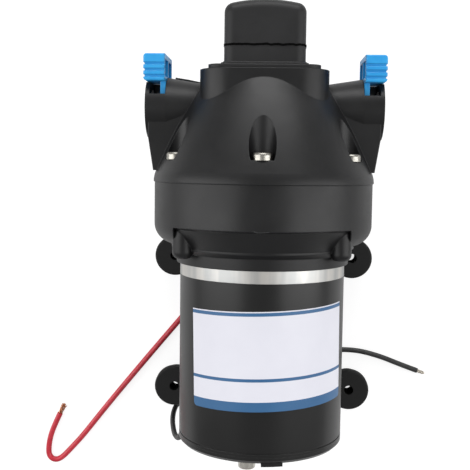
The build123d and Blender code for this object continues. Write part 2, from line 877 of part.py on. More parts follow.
# Cam on the shaft: a disc with a clamp screw and a tilted journal for the bearing
bearing_rear_reach = drive_bearing_reach + drive_bearing_width
with BuildPart() as cam:
    revolve(ring(0, cam_radius, cam_rear, cam_rear + cam_length), axis=shaft_line)
    with BuildSketch(drive(bearing_rear_reach + cam_shoulder_length)):
        Circle(cam_shoulder_radius)
    extrude(amount=cam_shoulder_length)
    with BuildSketch(drive(bearing_rear_reach)):
        Circle(journal_radius)
    extrude(amount=drive_bearing_width)
    with BuildSketch(across(cam_rear)):
        Circle(shaft_radius + press_gap)
    extrude(amount=nod_centre - cam_rear, mode=Mode.SUBTRACT)
    with BuildSketch(outward(90, 0, cam_rear + cam_length / 2)):
        Circle(set_screw_radius + press_gap)
    extrude(amount=cam_radius + overrun, mode=Mode.SUBTRACT)
with BuildPart() as cam_set_screw:
    with BuildSketch(outward(90, shaft_radius + slip, cam_rear + cam_length / 2)):
        Circle(set_screw_radius)
    extrude(amount=set_screw_length)
    with BuildSketch(outward(90, shaft_radius + slip + set_screw_length, cam_rear + cam_length / 2)):
        RegularPolygon(set_screw_radius / 2, 6)
    extrude(amount=-set_screw_radius, mode=Mode.SUBTRACT)


def balls(plane, circle, count, radius):
    """Balls of a bearing, each a solid of its own."""
    with BuildPart() as cage:
        for spot in PolarLocations(circle, count).local_locations:
            with Locations(plane.location * spot):
                Sphere(radius)
    return cage


# Ball bearing between the cam and the wobble plate
drive_inner_out = journal_radius + press_gap + drive_ring_wall
drive_outer_in = drive_bearing_radius - drive_ring_wall
with BuildPart() as wobble_bearing_inner:
    with BuildSketch(drive(bearing_rear_reach)):
        Circle(drive_inner_out)
        Circle(journal_radius + press_gap, mode=Mode.SUBTRACT)
    extrude(amount=drive_bearing_width)
with BuildPart() as wobble_bearing_outer:
    with BuildSketch(drive(bearing_rear_reach)):
        Circle(drive_bearing_radius)
        Circle(drive_outer_in, mode=Mode.SUBTRACT)
    extrude(amount=drive_bearing_width)
wobble_bearing_balls = balls(
    drive(drive_bearing_reach + drive_bearing_width / 2), (drive_inner_out + drive_outer_in) / 2,
    drive_ball_count, (drive_outer_in - drive_inner_out) / 2 - slip,
)

# Front plate of the motor: turned aluminium, its rim shows as a bright band
with BuildPart() as front_plate:
    revolve(section([
        (plate_eye_radius, plate_front_spigot), (plate_front_spigot_radius, plate_front_spigot),
        (plate_front_spigot_radius, 0), (can_radius, 0), (can_radius, can_front),
        (can_bore - slip, can_front), (can_bore - slip, can_front - plate_rear_spigot),
        (bearing_radius + press_gap, can_front - plate_rear_spigot),
        (bearing_radius + press_gap, 0), (plate_eye_radius, 0),
    ]), axis=shaft_line)
    with BuildSketch(across(-adapter_thread_depth)):
        with adapter_screws_around():
            Circle(adapter_screw_radius + press_gap)
    extrude(amount=adapter_thread_depth, mode=Mode.SUBTRACT)
    with BuildSketch(across(can_front - plate_rear_spigot)):
        with bolts_around():
            Circle(bolt_radius + press_gap)
    extrude(amount=bolt_thread_depth, mode=Mode.SUBTRACT)

# Front ball bearing of the shaft, in the front plate
inner_ring_out = shaft_radius + bearing_ring_wall
outer_ring_in = bearing_radius - bearing_ring_wall
with BuildPart() as front_bearing_outer:
    revolve(ring(outer_ring_in, bearing_radius, -bearing_width, 0), axis=shaft_line)
with BuildPart() as front_bearing_inner:
    revolve(ring(shaft_radius + press_gap, inner_ring_out, -bearing_width, 0), axis=shaft_line)
front_bearing_balls = balls(
    across(-bearing_width / 2), (inner_ring_out + outer_ring_in) / 2, bearing_ball_count,
    (outer_ring_in - inner_ring_out) / 2 - slip,
)

# Motor can: a steel tube with a rolled groove near its end
groove_mid = can_rear + can_groove_inset
with BuildPart() as motor_can:
    revolve(ring(can_bore, can_radius, can_rear, can_front), axis=shaft_line)
    revolve(ring(
        can_radius - can_groove_depth, can_radius + overrun,
        groove_mid - can_groove_width / 2, groove_mid + can_groove_width / 2,
    ), axis=shaft_line, mode=Mode.SUBTRACT)
    with BuildSketch(outward(180, 0, -base_screw_front - base_screw_pitch / 2)):
        with GridLocations(base_screw_pitch, 0, 2, 1):
            Circle(base_screw_radius + press_gap)
    extrude(amount=can_radius + overrun, mode=Mode.SUBTRACT)
    with BuildSketch(outward(black_exit_turn, 0, -black_exit_drop)):
        Circle(black_wire / 2 + grommet_neck_rim + slip)
    extrude(amount=can_radius + overrun, mode=Mode.SUBTRACT)

# Magnets: two ferrite arcs against the can
with BuildPart() as magnets:
    magnet_rear = -magnet_front - magnet_length
    for half_turn in (0, 180):
        start = along(magnet_turn - magnet_arc / 2 + half_turn)
        revolve(
            ring(magnet_inner, can_bore - soft_gap, magnet_rear, -magnet_front, start),
            axis=shaft_line, revolution_arc=magnet_arc,
        )

# End bell: the pressed cap at the rear, with a bearing boss and a pad at its rim
skirt_outer = can_bore - slip
pocket_floor = bell_rear - bell_boss_drop + bell_wall
bush_outer = shaft_radius + slip + bush_wall
with BuildPart() as end_bell:
    revolve(section([
        (0, bell_rear - bell_boss_drop), (bell_boss_radius, bell_rear - bell_boss_drop),
        (bell_boss_radius, bell_rear), (can_radius - bell_chamfer, bell_rear),
        (can_radius, bell_rear + bell_chamfer), (can_radius, can_rear), (skirt_outer, can_rear),
        (skirt_outer, can_rear + bell_skirt), (skirt_outer - bell_skirt_wall, can_rear + bell_skirt),
        (skirt_outer - bell_skirt_wall, bell_rear + bell_wall),
        (bell_boss_radius, bell_rear + bell_wall),
        (bell_boss_radius, pocket_floor + bush_length),
        (bush_outer + press_gap, pocket_floor + bush_length),
        (bush_outer + press_gap, pocket_floor), (0, pocket_floor),
    ]), axis=shaft_line)
    revolve(
        ring(bell_pad_inner, can_radius - bell_chamfer, bell_rear - bell_pad_drop, bell_rear,
             along(bell_pad_turn)),
        axis=shaft_line, revolution_arc=bell_pad_sweep,
    )
    with BuildSketch(across(bell_rear)):
        with bolts_around():
            Circle(bolt_radius + slip)
    extrude(amount=bell_wall + slip, mode=Mode.SUBTRACT)
with BuildPart() as rear_bush:
    bush_ring = (shaft_radius + slip, bush_outer)
    revolve(ring(*bush_ring, pocket_floor, pocket_floor + bush_length), axis=shaft_line)

# Through bolts with their washers
with BuildPart() as bolt_washers:
    with BuildSketch(across(bell_rear)):
        with bolts_around():
            Circle(bolt_washer_radius)
            Circle(bolt_radius + slip, mode=Mode.SUBTRACT)
    extrude(amount=-bolt_washer_thickness)
washer_rear = bell_rear - bolt_washer_thickness
with BuildPart() as through_bolts:
    with BuildSketch(across(washer_rear)):
        with bolts_around():
            Circle(bolt_head_radius)
    extrude(amount=-bolt_head_height)
    fillet(through_bolts.edges().group_by(Axis.Y)[0], bolt_head_round)
    with BuildSketch(across(washer_rear)):
        with bolts_around():
            Circle(bolt_radius)
    bolt_tip = can_front - plate_rear_spigot + bolt_thread_depth - slip
    extrude(amount=bolt_tip - washer_rear)
    with BuildSketch(across(washer_rear - bolt_head_height)):
        with bolts_around():
            Rectangle(cross_span, cross_width)
            Rectangle(cross_width, cross_span)
    extrude(amount=cross_depth, mode=Mode.SUBTRACT)

# Shaft, from the bush to the cam
with BuildPart() as shaft:
    revolve(ring(0, shaft_radius, pocket_floor + slip, shaft_nose), axis=shaft_line)

# Armature core: a stack with twelve slots under narrow mouths
with BuildPart() as armature_core:
    revolve(ring(shaft_radius + press_gap, core_radius, core_rear, -core_front), axis=shaft_line)
    slot_top_radius = core_radius - tooth_tip
    with BuildSketch(across(core_rear)):
        with PolarLocations((slot_floor_radius + slot_top_radius) / 2, slot_count):
            Rectangle(slot_top_radius - slot_floor_radius, slot_width)
        with PolarLocations(core_radius, slot_count):
            Rectangle(2 * tooth_tip + slip, slot_mouth)
    extrude(amount=core_length, mode=Mode.SUBTRACT)

# Armature windings: the bars in the slots and the bundles over both ends
with BuildPart() as armature_windings:
    bundle_in = slot_floor_radius + coil_gap
    bundle_out = slot_top_radius - coil_gap
    rear_end = core_rear - end_turn_length
    front_end = end_turn_length - core_front
    for low, high in ((rear_end, core_rear - coil_gap), (coil_gap - core_front, front_end)):
        revolve(ring(bundle_in, bundle_out, low, high), axis=shaft_line)
    with BuildSketch(across(rear_end)):
        with PolarLocations((bundle_in + bundle_out) / 2, slot_count):
            Rectangle(bundle_out - bundle_in, slot_width - 2 * coil_gap)
    extrude(amount=front_end - rear_end)

# Commutator: copper, cut into bars
with BuildPart() as commutator:
    commutator_ring = (shaft_radius + press_gap, commutator_radius)
    revolve(ring(*commutator_ring, commutator_rear, commutator_front), axis=shaft_line)
    with BuildSketch(across(commutator_rear)):
        with PolarLocations(commutator_radius, slot_count):
            Rectangle(2 * commutator_slit_depth, commutator_slit)
    extrude(amount=commutator_length, mode=Mode.SUBTRACT)

# Brush gear: a card across the can, two brass boxes on it, and a sprung brush in each
with BuildPart() as brush_card:
    revolve(ring(brush_card_eye, can_bore - soft_gap, card_rear, card_front), axis=shaft_line)
    with BuildSketch(across(card_rear)):
        with bolts_around():
            Circle(bolt_radius + bolt_card_gap)
    extrude(amount=brush_card_thickness, mode=Mode.SUBTRACT)
with BuildPart() as brush_boxes:
    for turn in (-90, 90):
        with BuildSketch(outward(turn, brush_box_start, brush_mid)):
            Rectangle(brush_height + 2 * brush_box_wall, brush_width + 2 * brush_box_wall)
        extrude(amount=brush_box_length)
        with BuildSketch(outward(turn, brush_box_start, brush_mid)):
            Rectangle(brush_height + 2 * slip, brush_width + 2 * slip)
        extrude(amount=brush_box_length - brush_box_wall, mode=Mode.SUBTRACT)
with BuildPart() as brushes:
    for turn in (-90, 90):
        with BuildSketch(outward(turn, brush_tip, brush_mid)):
            Rectangle(brush_height, brush_width)
        extrude(amount=brush_length)


def coil_spring(start, direction, length, radius, wire, turns):
    """Open coil spring between two flat seats that are one length apart."""
    with BuildPart() as spring:
        with BuildLine():
            coil = Helix(
                pitch=(length - wire) / turns, height=length - wire, radius=radius,
                center=Vector(*start) + Vector(*direction) * (wire / 2), direction=direction,
            )
        with BuildSketch(Plane(origin=coil @ 0, z_dir=coil % 0)):
            Circle(wire / 2)
        sweep(path=coil)
    return spring


spring_start = brush_tip + brush_length + slip
spring_room = brush_box_start + brush_box_length - brush_box_wall - spring_start - slip
brush_spring_pair = [
    coil_spring(
        (side * spring_start, motor_face_y + brush_mid, axis_height), (side, 0, 0),
        spring_room - brush_spring_wire / 2, brush_spring_radius, brush_spring_wire,
        brush_spring_turns,
    )
    for side in (-1, 1)
]
with BuildPart() as brush_springs:
    for brush_spring in brush_spring_pair:
        add(brush_spring.part)

# Base of the pressure switch: a plate screwed on the block, and a neck with the plunger's barrel
with BuildPart() as switch_base:
    with BuildSketch(across(block_top)):
        RectangleRounded(foot_width, foot_depth, foot_corner)
    extrude(amount=foot_height)
    with BuildSketch(across(neck_base)):
        RectangleRounded(neck_width, neck_depth, neck_corner)
    extrude(amount=neck_top - neck_base)
    with BuildSketch(across(neck_base)):
        RectangleRounded(
            neck_width + 2 * neck_flare, neck_depth + 2 * neck_flare, neck_corner + neck_flare
        )
    extrude(amount=neck_flare_height)
    for side in (-1, 1):
        for spread in (-gusset_spread, gusset_spread):
            gusset_root = side * neck_width / 2
            extrude(section([
                (gusset_root, neck_base), (gusset_root + side * gusset_width, neck_base),
                (gusset_root, neck_base + gusset_height),
            ], along().offset(spread)), amount=gusset_thickness / 2, both=True)
    with BuildSketch(across(switch_screw_seat)):
        RectangleRounded(neck_width - 2 * neck_wall, neck_depth - 2 * neck_wall, neck_inner_corner)
    extrude(amount=neck_height, mode=Mode.SUBTRACT)
    with BuildSketch(across(neck_top)):
        lip_gap = cover_wall + soft_gap
        lip_corner = neck_corner - lip_gap
        RectangleRounded(neck_width - 2 * lip_gap, neck_depth - 2 * lip_gap, lip_corner)
        RectangleRounded(
            neck_width - 2 * (lip_gap + neck_lip_wall), neck_depth - 2 * (lip_gap + neck_lip_wall),
            lip_corner - neck_lip_wall, mode=Mode.SUBTRACT,
        )
    extrude(amount=neck_lip_height)
    with BuildSketch(across(block_top + neck_floor)):
        Circle(barrel_bore + barrel_wall)
    extrude(amount=barrel_top - neck_floor)
    with BuildSketch(across(block_top + neck_floor)):
        with GridLocations(microswitch_width + 2 * slip + bracket_thickness, 0, 2, 1):
            Rectangle(bracket_thickness, bracket_depth)
    extrude(amount=microswitch_low + bracket_height - block_top - neck_floor)
    with BuildSketch(across(block_top)):
        Circle(barrel_bore)
    extrude(amount=barrel_top, mode=Mode.SUBTRACT)
    with BuildSketch(across(block_top)):
        with switch_screws_around():
            Circle(switch_screw_radius + slip)
    extrude(amount=neck_floor, mode=Mode.SUBTRACT)
    with BuildSketch(Plane.XY.offset(axis_height - neck_depth / 2 + neck_wall + overrun)):
        with Locations((red_exit_x, motor_face_y + block_top + red_exit_rise)):
            Circle(red_wire / 2 + grommet_neck_rim + slip)
    extrude(amount=-neck_wall - 2 * overrun, mode=Mode.SUBTRACT)

# Screws of the switch base, from the floor of its neck into the upper housing
with BuildPart() as switch_screws:
    with BuildSketch(across(switch_screw_seat)):
        with switch_screws_around():
            Circle(switch_screw_head_radius)
    extrude(amount=switch_screw_head_height)
    with BuildSketch(across(switch_screw_seat)):
        with switch_screws_around():
            Circle(switch_screw_radius)
    extrude(amount=slip - switch_screw_length)
    switch_screw_top = switch_screw_seat + switch_screw_head_height
    add(cut_crosses(across(switch_screw_top - cross_depth), switch_screws_around()), mode=Mode.SUBTRACT)

# Small diaphragm that the water presses, and the plunger that stands on it
with BuildPart() as switch_diaphragm:
    revolve(ring(0, switch_recess_radius, block_top - switch_recess_depth, block_top), axis=shaft_line)
with BuildPart() as switch_plunger:
    revolve(section([
        (0, block_top), (plunger_radius, block_top), (plunger_radius, plunger_seat),
        (plunger_stem_radius, plunger_seat), (plunger_stem_radius, plunger_height),
        (0, plunger_height),
    ]), axis=shaft_line)
switch_spring = coil_spring(
    (0, motor_face_y + plunger_seat, axis_height), (0, 1, 0),
    spring_top - plunger_seat - slip, spring_radius, spring_wire, spring_turns,
)
with BuildPart() as spring_collar:
    collar_ring = (plunger_stem_radius + soft_gap, barrel_bore - slip)
    revolve(ring(*collar_ring, spring_top, barrel_height), axis=shaft_line)

# Snap switch, its terminals, and the little button that the plunger pushes
with BuildPart() as microswitch:
    with BuildSketch(across(microswitch_low)):
        Rectangle(microswitch_width, microswitch_depth)
    extrude(amount=microswitch_height)
    with BuildSketch(across(microswitch_low)):
        Circle(button_tip_radius + slip)
    extrude(amount=button_hole_depth, mode=Mode.SUBTRACT)
with BuildPart() as microswitch_terminals:
    with BuildSketch(across(microswitch_low + microswitch_height)):
        with GridLocations(2 * terminal_spread, 0, 2, 1):
            Rectangle(terminal_width, terminal_thickness)
    extrude(amount=terminal_height)
with BuildPart() as microswitch_button:
    with BuildSketch(across(plunger_height)):
        Circle(button_tip_radius)
    extrude(amount=microswitch_gap + button_tip_hidden)


def cover_form(inset):
    """Box with rounded corners and a domed top, drawn in all round by an inset."""
    with BuildPart() as form:
        with BuildSketch(across(neck_top)):
            RectangleRounded(neck_width - 2 * inset, neck_depth - 2 * inset, neck_corner - inset)
        extrude(amount=cover_height)
        with Locations((0, motor_face_y + neck_top + cover_height - cover_dome_radius, axis_height)):
            Sphere(cover_dome_radius - inset, mode=Mode.INTERSECT)
        half_way = motor_face_y + neck_top + cover_height / 2
        crown = form.edges().filter_by(lambda edge: edge.center().Y > half_way)
        fillet(crown.filter_by(Axis.Y, reverse=True), cover_edge_round - inset)
    return form.part


with BuildPart() as switch_cover:
    add(cover_form(0))
    add(cover_form(cover_wall), mode=Mode.SUBTRACT)

# Base plate: a pressed steel plate with a raised saddle under the can and an ear at each foot
plate_top = foot_lower + base_thickness
saddle_drop = axis_height - plate_top
with BuildPart() as base_plate:
    with BuildSketch(across(-saddle_rear)):
        Circle(saddle_outer)
        Circle(saddle_inner, mode=Mode.SUBTRACT)
        with Locations((0, can_radius)):
            Rectangle(2 * saddle_half_width, can_radius, mode=Mode.INTERSECT)
        for side in (-1, 1):
            inner_x = saddle_half_width - base_thickness
            with BuildLine():
                Polyline(
                    (side * saddle_half_width, sqrt(saddle_inner**2 - saddle_half_width**2)),
                    (side * saddle_leg_foot, saddle_drop),
                    (side * saddle_leg_foot, saddle_drop + base_thickness),
                    (side * (saddle_leg_foot - base_thickness), saddle_drop + base_thickness),
                    (side * inner_x, sqrt(saddle_outer**2 - inner_x**2)),
                    close=True,
                )
            make_face()
    extrude(amount=saddle_rear - saddle_front)
    with BuildSketch(Plane.XY.offset(foot_lower)):
        plate_mid = motor_face_y - (base_front + base_rear) / 2
        with Locations((0, plate_mid)):
            Rectangle(2 * base_half_width, base_rear - base_front)
        with feet_around():
            Circle(base_ear_radius)
        with Locations((0, foot_pitch_y / 2), (0, -foot_pitch_y / 2)):
            Rectangle(foot_pitch_x, 2 * base_ear_radius)
        saddle_mid = motor_face_y - (saddle_front + saddle_rear) / 2
        with Locations((0, saddle_mid)):
            Rectangle(
                2 * (saddle_leg_foot - base_thickness), saddle_rear - saddle_front,
                mode=Mode.SUBTRACT,
            )
        with feet_around():
            Circle(foot_neck_radius + slip, mode=Mode.SUBTRACT)
    extrude(amount=base_thickness)
    with BuildSketch(outward(180, 0, -base_screw_front - base_screw_pitch / 2)):
        with GridLocations(base_screw_pitch, 0, 2, 1):
            Circle(base_screw_radius + press_gap)
    extrude(amount=axis_height, mode=Mode.SUBTRACT)
with BuildPart() as base_screws:
    with BuildSketch(outward(180, saddle_outer, -base_screw_front - base_screw_pitch / 2)):
        with GridLocations(base_screw_pitch, 0, 2, 1):
            Circle(base_screw_head_radius)
    extrude(amount=base_screw_head_height)
    base_screw_mid = -base_screw_front - base_screw_pitch / 2
    with BuildSketch(outward(180, can_radius - base_screw_reach, base_screw_mid)):
        with GridLocations(base_screw_pitch, 0, 2, 1):
            Circle(base_screw_radius)
    extrude(amount=saddle_outer - can_radius + base_screw_reach)

# Rubber feet: each clips its neck into an ear of the base plate
with BuildPart() as rubber_feet:
    with BuildSketch(Plane.XY):
        with feet_around():
            Circle(foot_base_radius)
    extrude(amount=foot_lower)
    with BuildSketch(Plane.XY.offset(foot_lower)):
        with feet_around():
            Circle(foot_neck_radius)
    extrude(amount=base_thickness)
    with BuildSketch(Plane.XY.offset(plate_top)):
        with feet_around():
            Circle(foot_radius)
    extrude(amount=foot_total - plate_top)
    round_edges = rubber_feet.edges().filter_by(GeomType.CIRCLE)
    fillet(round_edges.filter_by(lambda edge: edge.radius > foot_neck_radius + slip), foot_round)
    with BuildSketch(Plane.XY):
        with feet_around():
            Circle(foot_bore)
    extrude(amount=foot_total, mode=Mode.SUBTRACT)

# Rating label
with BuildPart() as rating_label:
    label_ring = (can_radius + press_gap, can_radius + press_gap + label_thickness)
    revolve(ring(*label_ring, can_rear, can_front), axis=shaft_line)
    with BuildSketch(Plane.XY.offset(axis_height)):
        label_centre = (label_centre_x, motor_face_y - label_centre_drop, 0)
        with Locations(Location(label_centre, (0, 0, label_tilt))):
            Rectangle(label_width, label_length)
    extrude(amount=can_radius + overrun, mode=Mode.INTERSECT)


def grommet(plane, wire):
    """Rubber grommet on a wall, its axis along the plane's normal from the wall's outer face."""
    with BuildPart() as plug:
        with BuildSketch(plane.offset(press_gap)):
            Circle(wire / 2 + grommet_flange_rim)
        extrude(amount=grommet_flange)
        with BuildSketch(plane.offset(press_gap)):
            Circle(wire / 2 + grommet_nose_rim)
        extrude(amount=grommet_flange + grommet_nose_length)
        with BuildSketch(plane.offset(press_gap)):
            Circle(wire / 2 + grommet_neck_rim)
        extrude(amount=-can_wall)
    return plug


black_exit = outward(black_exit_turn, can_radius, -black_exit_drop)
red_exit = Plane(
    (red_exit_x, motor_face_y + block_top + red_exit_rise, axis_height - neck_depth / 2),
    z_dir=(0, 0, -1),
)
black_lead_grommet = grommet(black_exit, black_wire)
red_lead_grommet = grommet(red_exit, red_wire)


def bend_radii(points):
    """The largest arcs that the runs of a route leave room for, one for each corner."""
    radii = []
    for before, here, after in zip(points, points[1:], points[2:]):
        first = Vector(*here) - Vector(*before)
        second = Vector(*after) - Vector(*here)
        half_turn = radians(first.get_angle(second)) / 2
        radii.append(bend_share * min(first.length, second.length) / tan(half_turn))
    return radii


def lead(name, exit_plane, points, wire):
    """Insulated lead: a tube from the face of its grommet along its route."""
    nose = exit_plane.origin + exit_plane.z_dir * (press_gap + grommet_flange + grommet_nose_length)
    route = [tuple(nose), tuple(nose + exit_plane.z_dir * lead_straight), *points]
    radii = bend_radii(route)
    with BuildPart() as tube:
        with BuildLine():
            path = FilletPolyline(*route, radius=radii)
        with BuildSketch(Plane(origin=path @ 0, z_dir=path % 0)):
            Circle(wire / 2)
        sweep(path=path)
    swept = pi * (wire / 2) ** 2 * path.length
    print(name, "length", round(path.length, 1), "volume share", round(tube.part.volume / swept, 4))
    print(name, "radii", [round(radius, 1) for radius in radii])
    return tube, path


red_lead, red_path = lead("red_lead", red_exit, red_route, red_wire)
black_lead, black_path = lead("black_lead", black_exit, black_route, black_wire)

# Bare ends: loose copper strands on the red lead and a tinned tip on the black one
red_end = Plane(origin=red_path @ 1, x_dir=(0, 0, 1), z_dir=red_path % 1)
strand_reach = red_wire / 2 - 2 * strand_radius
with BuildPart() as red_lead_strands:
    with BuildSketch(red_end):
        Circle(strand_reach + strand_radius + slip)
    extrude(amount=strand_root)
    for strand in range(strand_count):
        share = 2 * strand / (strand_count - 1) - 1
        sideways = red_end.y_dir * share
        root = red_end.origin + sideways * strand_reach + red_end.z_dir * (strand_root / 2)
        with BuildSketch(Plane(root, z_dir=red_end.z_dir + sideways * tan(radians(strand_lean)))):
            Circle(strand_radius)
        extrude(amount=bare_length)
black_end = Plane(origin=black_path @ 1, z_dir=black_path % 1)
with BuildPart() as black_lead_tip:
    with BuildSketch(black_end):
        Circle(tip_radius)
    extrude(amount=tip_length)
    tip_edge = black_lead_tip.edges().sort_by(Axis((0, 0, 0), black_end.z_dir))[-1]
    fillet(tip_edge, tip_radius / 2)

pieces = {
    "lower_housing": lower_housing,
    "upper_housing": upper_housing,
    "left_clip": left_clip,
    "right_clip": right_clip,
    "head_screws": head_screws,
    "adapter_screws": adapter_screws,
    "valve_plate": valve_plate,
    "valve_plate_seal": valve_plate_seal,
    "outlet_seal": outlet_seal,
    "inlet_valves": inlet_valves,
    "outlet_valve": outlet_valve,
    "diaphragm": diaphragm,
    "wobble_plate": wobble_plate,
    "piston_buttons": piston_buttons,
    "piston_screws": piston_screws,
    "cam": cam,
    "cam_set_screw": cam_set_screw,
    "wobble_bearing_inner": wobble_bearing_inner,
    "wobble_bearing_outer": wobble_bearing_outer,
    "wobble_bearing_balls": wobble_bearing_balls,
    "front_plate": front_plate,
    "front_bearing_outer": front_bearing_outer,
    "front_bearing_inner": front_bearing_inner,
    "front_bearing_balls": front_bearing_balls,
    "motor_can": motor_can,
    "magnets": magnets,
    "end_bell": end_bell,
    "rear_bush": rear_bush,
    "bolt_washers": bolt_washers,
    "through_bolts": through_bolts,
    "shaft": shaft,
    "armature_core": armature_core,
    "armature_windings": armature_windings,
    "commutator": commutator,
    "brush_card": brush_card,
    "brush_boxes": brush_boxes,
    "brushes": brushes,
    "brush_springs": brush_springs,
    "switch_base": switch_base,
    "switch_screws": switch_screws,
    "switch_diaphragm": switch_diaphragm,
    "switch_plunger": switch_plunger,
    "switch_spring": switch_spring,
    "spring_collar": spring_collar,
    "microswitch": microswitch,
    "microswitch_terminals": microswitch_terminals,
    "microswitch_button": microswitch_button,
    "switch_cover": switch_cover,
    "base_plate": base_plate,
    "base_screws": base_screws,
    "rubber_feet": rubber_feet,
    "rating_label": rating_label,
    "black_lead_grommet": black_lead_grommet,
    "red_lead_grommet": red_lead_grommet,
    "red_lead": red_lead,
    "red_lead_strands": red_lead_strands,
    "black_lead": black_lead,
    "black_lead_tip": black_lead_tip,
}
os.makedirs("parts", exist_ok=True)
for name, piece in pieces.items():
    piece.part.label = name
    export_step(piece.part, f"parts/{name}.step")
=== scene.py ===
# %% [markdown]
# # A caravan water pump, dressed
# The real object is a small diaphragm pump lying on four rubber feet, seen from above. Its shape
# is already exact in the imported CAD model, so this lesson leaves every solid where it is and
# works on what CAD can't say: finishes, the two loose leads, the label and the small marks that
# moulding and assembly leave. The frame is loaded first, because all that follows is placed in
# its coordinates: X to the right port, Y along the shaft to the nose, Z up, in metres.

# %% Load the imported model
import json
from math import atan2, cos, pi, radians, sin

import bmesh
import bpy
from mathutils import Matrix, Vector, noise

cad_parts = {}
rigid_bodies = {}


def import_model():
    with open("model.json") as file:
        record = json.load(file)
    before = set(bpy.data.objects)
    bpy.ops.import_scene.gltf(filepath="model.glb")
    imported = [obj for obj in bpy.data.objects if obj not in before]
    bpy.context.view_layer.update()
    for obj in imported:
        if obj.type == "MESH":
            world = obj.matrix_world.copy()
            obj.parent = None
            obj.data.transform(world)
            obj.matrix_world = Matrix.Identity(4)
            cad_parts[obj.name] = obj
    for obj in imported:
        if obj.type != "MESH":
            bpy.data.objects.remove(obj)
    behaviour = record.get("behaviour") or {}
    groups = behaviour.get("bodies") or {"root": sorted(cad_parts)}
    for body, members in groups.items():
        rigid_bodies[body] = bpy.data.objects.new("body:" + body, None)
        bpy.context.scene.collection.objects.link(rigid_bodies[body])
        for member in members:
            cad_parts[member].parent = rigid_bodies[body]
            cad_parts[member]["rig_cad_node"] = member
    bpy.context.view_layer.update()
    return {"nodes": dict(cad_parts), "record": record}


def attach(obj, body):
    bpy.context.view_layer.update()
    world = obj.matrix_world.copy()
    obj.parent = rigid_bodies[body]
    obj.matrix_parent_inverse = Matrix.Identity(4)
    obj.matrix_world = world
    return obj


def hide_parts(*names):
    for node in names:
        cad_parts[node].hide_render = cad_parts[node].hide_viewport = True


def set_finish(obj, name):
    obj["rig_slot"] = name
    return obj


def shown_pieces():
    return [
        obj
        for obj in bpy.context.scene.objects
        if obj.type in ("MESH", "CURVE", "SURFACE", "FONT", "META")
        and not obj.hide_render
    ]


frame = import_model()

# %% [markdown]
# ## Camera
# A photograph fixes where the camera stood: the motor's round ends are ellipses, and their
# openness and spacing give its height and tilt. It was almost straight above the pump, 0.45 m
# up. A Blender camera looks along its own -Z, so a camera that isn't turned at all already looks
# down, and only a few degrees of pitch, yaw and roll are left to set.

# %% Place the camera
image_size = 470
focal_pixels = 850.0
sensor_width = 36.0
lens_place = Vector((0.004369, 0.084397, 0.453919))
pitch, yaw, roll = 0.0869, -0.0435, -0.0130

camera_data = bpy.data.cameras.new("photo_camera")
camera_data.sensor_width = sensor_width
camera_data.lens = sensor_width * focal_pixels / image_size
camera_data.clip_start = 0.01
camera = bpy.data.objects.new("photo_camera", camera_data)
bpy.context.scene.collection.objects.link(camera)
to_camera = Matrix.Rotation(roll, 3, "Z") @ Matrix.Rotation(pitch, 3, "X") @ Matrix.Rotation(yaw, 3, "Y")
camera.matrix_world = Matrix.Translation(lens_place) @ to_camera.transposed().to_4x4()
bpy.context.scene.camera = camera
print("Lens in mm:", round(camera_data.lens, 1))

# %% [markdown]
# ## The two leads
# The leads are flexible PVC wire, so they are never straight lines with round corners: they are
# one smooth line with a little waviness, lying on the floor. A NURBS curve gives just that. Its
# control points are the ones that the CAD tubes were routed by, so wire and solid lie together.
# A round bevel turns the line into a wire, and `use_endpoint_u` makes it reach both ends. The
# order is set after the points, because Blender caps it at the number of points there are. The
# thickness sits in the points' radii and the bevel's depth is 1, because the box that Blender
# gives a curve adds the radii and leaves the depth out.

# %% Draw a wire along control points
mm = 0.001


def wire(name, points, diameter):
    """A round wire along a smooth line, from control points in millimetres."""
    curve = bpy.data.curves.new(name, "CURVE")
    curve.dimensions = "3D"
    line = curve.splines.new("NURBS")
    line.points.add(len(points) - 1)
    for spot, place in zip(line.points, points):
        spot.co = (*(Vector(place) * mm), 1.0)
        spot.radius = diameter / 2 * mm
    line.order_u = 3
    line.use_endpoint_u = True
    curve.resolution_u = 8
    curve.bevel_depth = 1.0
    curve.bevel_resolution = 5
    curve.use_fill_caps = True
    piece = bpy.data.objects.new(name, curve)
    bpy.context.scene.collection.objects.link(piece)
    return piece


red_diameter, black_diameter = 3.0, 2.7
red_points = [
    (6.0, 132.05, 36.18), (6.0, 132.05, 32.18),
    (6.0, 131.0, 26.5), (5.7, 125.0, 17.0), (5.0, 114.5, 9.5), (3.9, 101.0, 4.0),
    (2.0, 87.0, 1.5), (-1.5, 72.0, 1.5), (-7.0, 55.0, 1.5), (-15.5, 36.5, 1.5),
    (-28.5, 18.2, 1.5), (-44.9, -1.7, 1.5), (-60.6, -20.6, 1.5), (-76.4, -40.0, 1.5),
    (-88.0, -54.6, 1.5), (-97.2, -66.6, 1.5), (-104.3, -74.6, 1.5), (-109.9, -80.5, 1.5),
    (-113.9, -81.3, 1.5), (-116.7, -78.6, 1.5), (-116.6, -73.0, 1.5), (-115.4, -67.0, 1.5),
    (-112.9, -60.6, 1.5), (-110.2, -54.9, 1.5),
]
black_points = [
    (-33.602, -27.8, 36.472), (-36.878, -27.8, 34.178),
    (-39.5, -33.0, 33.0), (-39.3, -40.0, 35.5), (-38.6, -46.0, 39.0), (-39.0, -52.0, 40.2),
    (-41.2, -56.0, 36.0), (-43.8, -56.0, 29.5), (-45.6, -54.8, 21.0), (-46.9, -53.2, 13.0),
    (-47.0, -50.4, 6.5), (-45.6, -47.5, 2.4), (-40.0, -46.0, 1.35), (-34.0, -43.6, 1.35),
    (-27.0, -39.6, 1.35), (-15.0, -34.2, 1.35), (0.5, -27.6, 1.35), (18.5, -20.9, 1.35),
    (34.5, -16.4, 1.35), (49.5, -15.7, 1.35), (63.0, -18.9, 1.35), (74.5, -23.4, 1.35),
    (83.4, -26.5, 1.35),
]
red_wire = wire("red_wire", red_points, red_diameter)
